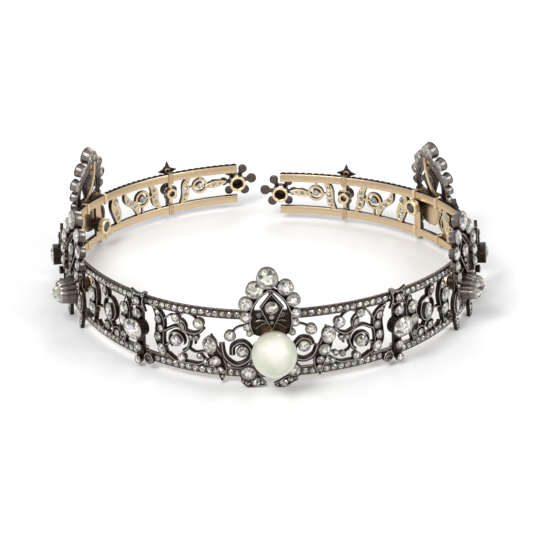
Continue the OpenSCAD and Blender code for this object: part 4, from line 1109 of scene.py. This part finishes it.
for side, word in ((1, "Right"), (-1, "Left")):
    end = nodeEnd(word)
    connector("connectorFront" + word, side, 1, connectorLook["settings"], {
        "silver": ["connector_front" + end],
        "stone": ["diamond_connector_front" + end, "connector_stones" + end],
    })
    connector("connectorSide" + word, side, 3, connectorLook["sideSettings"], {
        "silver": ["connector_side" + end],
        "stone": ["diamond_connector_side" + end],
    })
    connector("connectorBack" + word, side, 5, connectorLook["backSettings"], {
        "silver": ["connector_back" + end],
    }, back=True)
print("connectors made")

# Crests. Arch settings (u, v, width, mouth), wings (u, v, width, height, mouth), strips (width, points)
# and leaves (u, v, length, width, curl, turn)

archFront = [
    (-0.9, 38.2, 7.4, 5.2), (-5.2, 33.9, 6.0, 4.6), (5.0, 34.6, 5.5, 4.6), (-8.2, 28.9, 4.9, 4.3),
    (7.6, 30.0, 4.7, 4.3), (-8.2, 24.0, 4.0, 4.0), (8.3, 25.0, 3.6, 4.0), (-7.8, 20.2, 2.9, 3.7),
    (8.0, 21.5, 2.9, 3.7), (-7.2, 17.8, 2.2, 3.5), (7.0, 17.9, 2.4, 3.5),
]
archSide = [
    (0, 38.3, 6.8, 5.2), (-5.0, 34.3, 5.4, 4.7), (5.0, 34.3, 5.4, 4.7), (-7.6, 29.2, 4.9, 4.4),
    (7.6, 29.2, 4.9, 4.4), (-7.9, 24.5, 4.0, 4.1), (7.9, 24.5, 4.0, 4.1), (-7.3, 20.3, 3.6, 3.8),
    (7.3, 20.3, 3.6, 3.8),
]
archLook = {
    "foot": 19, "back": 1.9, "front": 2.9, "frame": (14.2, -30, 56, 7.6, 24.8), "frameWide": 2.4,
    "lining": (12.2, -25, 64, 5.3, 22.6), "liningWide": 1.4, "edgeWide": 0.5, "paintedLightWall": 0.5, "ribs": 16,
    "kite": [(0.3, 32.0), (4.1, 27.1), (0.3, 18.9), (-3.4, 27.1)],
}
frontWings = [
    (13.2, 18.6, 4.1, 4.1, 2.9), (-13.6, 17.0, 4.1, 4.1, 2.9), (10.8, 12.5, 4.3, 4.3, 2.8),
    (-9.6, 11.0, 4.3, 4.3, 2.8), (7.3, 3.9, 5.6, 5.4, 3.2), (-7.9, 3.2, 6.2, 5.8, 3.2),
]
frontStrips = [
    (2.0, [(15.2, 12.4), (13.8, 8.9), (10.7, 7.2), (7.8, 8.4), (7.6, 12.0), (9.8, 14.9), (12.4, 14.6),
           (13.5, 12.6)]),
    (2.0, [(-16.4, 14.0), (-15.5, 9.0), (-11.7, 5.8), (-7.6, 7.6), (-6.9, 11.4), (-9.4, 14.1), (-12.6, 12.8),
           (-13, 9.6)]),
    (0.9, [(13.2, 18.6), (10.8, 19.8), (8.0, 20.6)]),
    (0.9, [(-13.6, 17.0), (-11.0, 19.4), (-7.8, 20.2)]),
]
frontLeaves = [
    (6.5, 8, 13, 2.8, 0.4, 14), (-6, 8, 13, 2.8, 0.4, -14), (4.6, -0.8, 8.2, 3.4, 0.5, 102),
    (-6.2, -0.8, 8.6, 3.4, 0.5, -102),
]


def archHalf(bench, base, m, arc, wide, front, worn=0.8):
    # one side of a pointed arch: m is -1 or 1, and arc its radius, first and last angle, and centre
    radius, first, last, u, v = arc
    path = [(m * x, y) for x, y in arcPath(radius, first, last, (-u, v), step=5)]
    ribbon(bench, base, path, wide, archLook["back"], front, worn=worn, under="silver")


def archAndKite(bench, spot, drop, lean, table, skew):
    # skew is 1 where the brace behind the arch leans, and 0 where it is upright
    look = archLook
    back, front, kite = look["back"], look["front"], look["kite"]
    base = spot.moved(0, look["foot"] - drop, back, lean=lean).moved(0, -look["foot"], -back)
    for m in (-1, 1):
        archHalf(bench, base, m, look["frame"], look["frameWide"], front, worn=0.1)
        archHalf(bench, base, m, look["lining"], look["liningWide"], front + 0.7)
    plate(bench, base, kite[::-1], back, front - 0.1, 0.1, ("silver", 0.3), 0.05)
    for a, b in zip(kite, kite[1:] + kite[:1]):
        ribbon(bench, base, [a, b], look["edgeWide"], back + 0.1, front + 0.6, under="silver")
    setting(bench, base.moved(0.3, 27.2), 4.6, 4.6, back, 4.0)
    for y, size in ((23.7, 1.9), (21.6, 1.4)):
        setting(bench, base.moved(0.3, y), size, size, back + 0.4, 3.6, claws=False, stone="rose", sides=12)
    ribbon(bench, base, [(0.3, 31.4), (-0.4, 35.4)], 1.2, back, front)
    for u, v, size, mouth in table:
        # on the side and back crests the collet walls are made paler: painted light, not a different metal
        setting(bench, base.moved(u, v), size, size, back, mouth, sides=48 if skew else 28, taper=0.08,
                ribs=look["ribs"] * skew, wall=0.1 + look["paintedLightWall"] * skew, under="silver")
        stoneBack(bench, base.moved(u, v), 0.84 * size, 0.84 * size, back + 0.15)
    brace(bench, base.moved(-skew * braceLook["shift"], braceLook["turnV"], turn=-skew * braceLook["skew"])
          .moved(0, -braceLook["turnV"]))


braceLook = {"half": 0.6, "thick": 0.6, "skew": 17, "turnV": 28, "shift": 0.7, "foot": 19.6, "long": 17.4}


def brace(bench, spot):
    # a gold strip behind the arch, from its top down to the bow plate
    look = braceLook
    half, thick = look["half"], look["thick"]
    points = []
    for t in np.linspace(0, 1, 13):
        y, z = look["foot"] + t * look["long"], 1.0 + t * 1.1 - 5.2 * t * (1 - t)
        points += [(-half, y, z), (half, y, z), (half, y, z + thick), (-half, y, z + thick)]
    faces = quads(13, 4, outwards=True) + [[3, 2, 1, 0], [48, 49, 50, 51]]
    bench.add(spot, points, faces, "gold", 0.7)


bowLook = {"u": 3.3, "v": 19.2, "wide": 7, "high": 6, "edgeTop": 21.4, "edgeWide": 0.35}


def bow(bench, spot, drop):
    # two lobes behind the foot of the kite, each with a bright edge across it
    look = bowLook
    for m in (-1, 1):
        oval(bench, spot.moved(m * look["u"], look["v"] - drop), look["wide"], look["high"], [
            (0, 0.7, "silver", 0.1), (0, 2.1, "silver", 0.1), (0.1, 2.2, "silver", 0.7),
            (0.3, 2.2, "silver", 0.7), (0.4, 1.9, "silver", 0.05),
        ], 24, ("gold", 0.4), ("silver", 0.1))
        path = [(m * (0.4 + 6.6 * t), look["edgeTop"] - drop - 4.2 * t * t) for t in np.linspace(0, 1, 9)]
        ribbon(bench, spot, path, look["edgeWide"], 2.0, 2.7)


def post(bench, spot):
    wide = postLook["wide"]
    oval(bench, spot, wide, wide, [
        (0.25, -5.2, "silver", 0.6), (0.0, -4.9, "silver", 0.2), (0.0, 1.2, "silver", 0.1),
    ], 24, ("silver", 0.4))


def leafOnCrest(bench, place, long, wide, curl):
    leaf(bench, place, long, wide, curl, crestLook["foot"], crestLook["leafFront"])
    leafStones(bench, place, long, wide, curl, [], crestLook["leafFront"])


pearlSize = {"diameter": 15.2, "u": 0.8, "v": 12.4, "w": 8.8, "uneven": 0.008, "rings": 40, "sides": 64}
crestLook = {
    "foot": 0.7, "leafFront": 2.2, "stripFront": 2.4, "wireFront": 1.9, "ovalRim": 0.8, "wingRim": 0.4,
    "sideLeaves": ((6.4, 1.2, 8.6, 2.6, 0.4, -8), (4.6, 14, 8, 2.4, 0.3, 6)),
}


def crestFront():
    bench = Bench("crestFront")
    side, s, postU, postV, pearlV, drop, lean = crestPlaces["Front"]
    look = crestLook
    spot = Spot(side, s, flat=True)
    archAndKite(bench, spot, drop, lean, archFront, 0)
    bow(bench, spot, drop)
    post(bench, spot.moved(postU, postV))
    turned(bench, spot.moved(pearlSize["u"], pearlSize["v"]), [
        (5.6, 0.7, "gold", 0.4), (5.9, 2.0, "silver", 0.1), (6.5, 3.9, "gold", 0.7), (6.6, 4.1, "gold", 1.0),
        (6.3, 4.1, "gold", 1.0), (6.0, 3.8, "silver", 0.2), (3.8, 2.0, "silver", 0.1),
    ], 48, ("gold", 0.4), ("silver", 0.1))
    for wide, places in frontStrips:
        front = look["stripFront"] if wide > 1 else look["wireFront"]
        ribbon(bench, spot, curve(places), wide, look["foot"], front)
    for u, v, long, wide, curl, turn in frontLeaves:
        leafOnCrest(bench, spot.moved(u, v, 0, turn), long, wide, curl)
    for u, v, wide, high, mouth in frontWings:
        setting(bench, spot.moved(u, v), wide, high, look["foot"], mouth, sides=28,
                rim=look["ovalRim"] if wide > 5 else look["wingRim"])
    bench.finish(silver=["crest_front"], stone=["crest_stones_front", "top_stone_front"])


# A fluted setting's rings: share of its height, depth of the flutes, wear and painted highlight
fluteLook = {
    "base": 5.2, "mouth": 3.9, "ribs": 13, "depth": 0.14, "foot": 0.7, "top": 8.1,
    "rings": ((0, 0.5, 0.1), (0.05, 1, 0.4), (0.35, 1, 0.36), (0.7, 1, 0.42), (0.93, 1, 0.6), (1, 0.6, 0.9)),
}


def flutedSetting(bench, spot):
    look = fluteLook
    foot, top = look["foot"], look["top"]
    sides = 8 * look["ribs"]
    rows = []
    for share, deep, wear in look["rings"]:
        r = look["base"] + (look["mouth"] - look["base"]) * share ** 1.3 - (0.3 if share in (0, 1) else 0)
        outline = ellipse(2 * r, 2 * r, 0, sides, look["ribs"], look["depth"] * deep)
        rows.append((outline, foot + (top - foot) * share, "silver", wear))
    stone = 2 * look["mouth"] - 1.3
    rows.append((ellipse(stone + 0.2, stone + 0.2, 0, sides), top, "silver", 0.9))
    rows.append((ellipse(stone - 0.2, stone - 0.2, 0, sides), top - 0.9, "silver", 0.2))
    stack(bench, spot, rows, ("gold", 0.4), ("silver", 0.0))
    oldStone(bench, spot, stone, stone, top - 0.3, 2.3, 0.9, square=2.1, table=0.46)


def crestWithFlute(name):
    side, s, postU, postV, fluteV, drop, lean = crestPlaces[name]
    bench = Bench("crest" + name)
    foot = crestLook["foot"]
    spot = Spot(side, s, flat=True)
    archAndKite(bench, spot, drop, lean, archSide, 1)
    bow(bench, spot, drop)
    post(bench, spot.moved(postU, postV))
    flutedSetting(bench, spot.moved(0, fluteV))
    for m in (-1, 1):
        loop = spot.moved(m * 6.6, 8.4)
        ribbon(bench, loop, ellipse(5.2, 8.0, sides=28), 0.8, foot, 2.3, closed=True)
        setting(bench, loop.moved(-m * 0.2, -0.6), 2.7, 6.4, foot, 2.4, claws=False)
        for u, v, long, wide, curl, turn in crestLook["sideLeaves"]:
            leafOnCrest(bench, spot.moved(m * u, v, 0, m * turn), long, wide, curl)
    end = nodeEnd(name)
    bench.finish(silver=["crest" + end], stone=["crest_stones" + end, "diamond" + end, "top_stone" + end])


crestFront()
for name in ("Right", "Left", "BackRight", "BackLeft"):
    crestWithFlute(name)
print("crests made")


def nut(name):
    side, s, u, v, flute, drop, lean = crestPlaces[name]
    look = postLook
    bench = Bench("nut" + name)
    top = look["bossFoot"] - look["nutGap"]
    low = top - look["nutLength"]
    outer, inner = look["nutRadius"], look["hole"]
    # the bore is darker, painted shade, and its end and edges paler, painted highlight
    turned(bench, Spot(side, s, flat=True).moved(u, v), [
        (inner, top, "gold", 0.3), (inner, low + 0.5, "gold", 0.2), (inner + 0.25, low, "gold", 1.0),
        (outer - 0.35, low, "gold", 1.1), (outer, low + 0.35, "gold", 1.0), (outer, top - 0.2, "gold", 0.7),
        (outer - 0.2, top, "gold", 0.5), (inner, top, "gold", 0.3),
    ], 48)
    bench.finish(gold=["nut" + nodeEnd(name)])


for name in crestPlaces:
    nut(name)


def pearl():
    # a slightly uneven ball
    bench = Bench("pearl")
    look = pearlSize
    radius, rings, sides = look["diameter"] / 2, look["rings"], look["sides"]
    points = []
    for i in range(rings + 1):
        down = math.pi * i / rings
        for j in range(sides):
            a = 2 * math.pi * j / sides
            swell = 1 - look["uneven"] * (1 + math.sin(2 * a + 1.3) * math.sin(down) + math.cos(3 * down))
            reach = radius * swell * math.sin(down)
            points.append((reach * math.cos(a), reach * math.sin(a), -radius * swell * math.cos(down)))
    faces = quads(rings + 1, sides, outwards=True)
    faces[:sides] = [[0, c, d] for a, b, c, d in faces[:sides]]
    faces[-sides:] = [[a, b, rings * sides] for a, b, c, d in faces[-sides:]]
    bench.add(Spot(1, 0, flat=True).moved(look["u"], look["v"], look["w"]), points, faces, "pearl")
    bench.finish(pearl=["pearl"])


pearl()

# End flowers: petals (angle, distance, radius) round a tube
flowerLook = {
    "v": 8.4, "armHalf": 0.8, "stone": 4.9,
    "petals": [(62, 5.4, 1.7), (4, 6, 1.9), (-52, 5.2, 1.8), (128, 5, 1.5), (180, 5, 1.6), (-128, 4.9, 1.6)],
}


def endFlower(side, word):
    bench = Bench("endFlower" + word)
    look = flowerLook
    spot = Spot(side, runTo(side, 6), look["v"], flat=True)
    half = look["armHalf"]
    for angle, far, radius in look["petals"]:
        place = spot.moved(*polar(far, angle))
        oval(bench, place, 2 * radius, 2 * radius, [
            (0.12, 0.32, "silver", 0.5), (0.02, 0.4, "silver", 0.4), (0.02, 1.28, "silver", 0.15),
            (0.1, 1.38, "silver", 0.9), (0.3, 1.38, "silver", 0.9), (0.36, 1.15, "silver", 0.1),
        ], 20, ("silver", 0.3), ("silver", 0.1))
        roseStone(bench, place, radius, radius, 0.9, 0.45)
        c, t = polar(1, angle)
        corners = ((far * 0.5, half), (far * 0.5, -half), (far, -half), (far, half))
        arm = [(r * c - h * t, r * t + h * c) for r, h in corners]
        plate(bench, spot, arm, 0.3, 1.1, 0.2, ("silver", 0.3))
    turned(bench, spot, [
        (2.1, 0.3, "silver", 0), (2.1, -3.0, "gold", 0.2), (2.3, -3.2, "gold", 1.0),
        (2.9, -3.2, "gold", 1.0), (3.1, -3.0, "gold", 0.8), (3.1, -1.6, "gold", 0.3),
        (3.1, 1.1, "silver", 0.1), (3.0, 1.2, "silver", 0.9), (2.7, 1.2, "silver", 0.9),
        (2.6, 0.8, "silver", 0.1),
    ], 40, front=("silver", 0.1))
    oldStone(bench, spot, look["stone"], look["stone"], 0.98, 0.4, 0.15)
    bench.finish(silver=["end_flower" + nodeEnd(word)])


for side, word in ((1, "Right"), (-1, "Left")):
    endFlower(side, word)
print("nuts, pearl and end flowers made")

# Stage, light and camera. The camera stands at the photograph's angle.

stage = {"size": 6.0, "grey": 0.86, "worldLight": 0.62}
view = {
    "distance": 0.8193, "elevation": 25.94, "turn": 0.688, "roll": -1.461, "lens": 152.44,
    "shift": (-0.0015, 0.0392),
    "aim": (-0.00074, 0.006741, 0.0002),
}
# name, place, size and power
lamps = [
    ("keyLamp", (-0.45, -0.55, 0.85), 0.5, 6.5),
    ("fillLamp", (0.65, -0.35, 0.5), 0.4, 2.2),
    ("backLamp", (0.1, 0.8, 0.6), 0.5, 3.0),
]


def addStage():
    mesh = bpy.data.meshes.new("floor")
    r = stage["size"] / 2
    mesh.from_pydata([(-r, -r, 0), (r, -r, 0), (r, r, 0), (-r, r, 0)], [], [(0, 1, 2, 3)])
    floor = bpy.data.objects.new("floor", mesh)
    bpy.context.scene.collection.objects.link(floor)
    recipe = Recipe("paleFloor")
    recipe.shader.inputs["Base Color"].default_value = (stage["grey"],) * 3 + (1,)
    recipe.shader.inputs["Roughness"].default_value = 0.9
    recipe.shader.inputs["Specular IOR Level"].default_value = 0.1
    mesh.materials.append(recipe.material)
    world = bpy.data.worlds.new("studio")
    world.use_nodes = True
    world.node_tree.nodes["Background"].inputs["Color"].default_value = (1, 1, 1, 1)
    world.node_tree.nodes["Background"].inputs["Strength"].default_value = stage["worldLight"]
    bpy.context.scene.world = world


def addLamps():
    for name, place, size, power in lamps:
        light = bpy.data.lights.new(name, "AREA")
        light.shape = "DISK"
        light.size = size
        light.energy = power
        lamp = bpy.data.objects.new(name, light)
        lamp.location = place
        away = -Matrix.Translation(place).to_translation()
        lamp.rotation_euler = away.to_track_quat("-Z", "Y").to_euler()
        bpy.context.scene.collection.objects.link(lamp)


def addCamera():
    elevation, turn, roll = (math.radians(view[k]) for k in ("elevation", "turn", "roll"))
    right = np.array([math.cos(turn), -math.sin(turn), 0])
    level = math.cos(elevation)
    ahead = np.array([level * math.sin(turn), level * math.cos(turn), -math.sin(elevation)])
    up = np.cross(right, ahead)
    place = np.array(view["aim"]) - view["distance"] * ahead
    camX = math.cos(roll) * right + math.sin(roll) * up
    camY = -math.sin(roll) * right + math.cos(roll) * up
    matrix = Matrix.Identity(4)
    for i in range(3):
        for k, column in enumerate((camX, camY, -ahead, place)):
            matrix[i][k] = column[i]
    data = bpy.data.cameras.new("camera")
    data.lens = view["lens"]
    data.sensor_width = 36
    data.shift_x, data.shift_y = view["shift"]
    data.clip_start = 0.05
    camera = bpy.data.objects.new("camera", data)
    camera.matrix_world = matrix
    bpy.context.scene.collection.objects.link(camera)
    bpy.context.scene.camera = camera


addStage()
addLamps()
addCamera()
bpy.context.scene.view_settings.view_transform = "Standard"
print("stage, lamps and camera made")
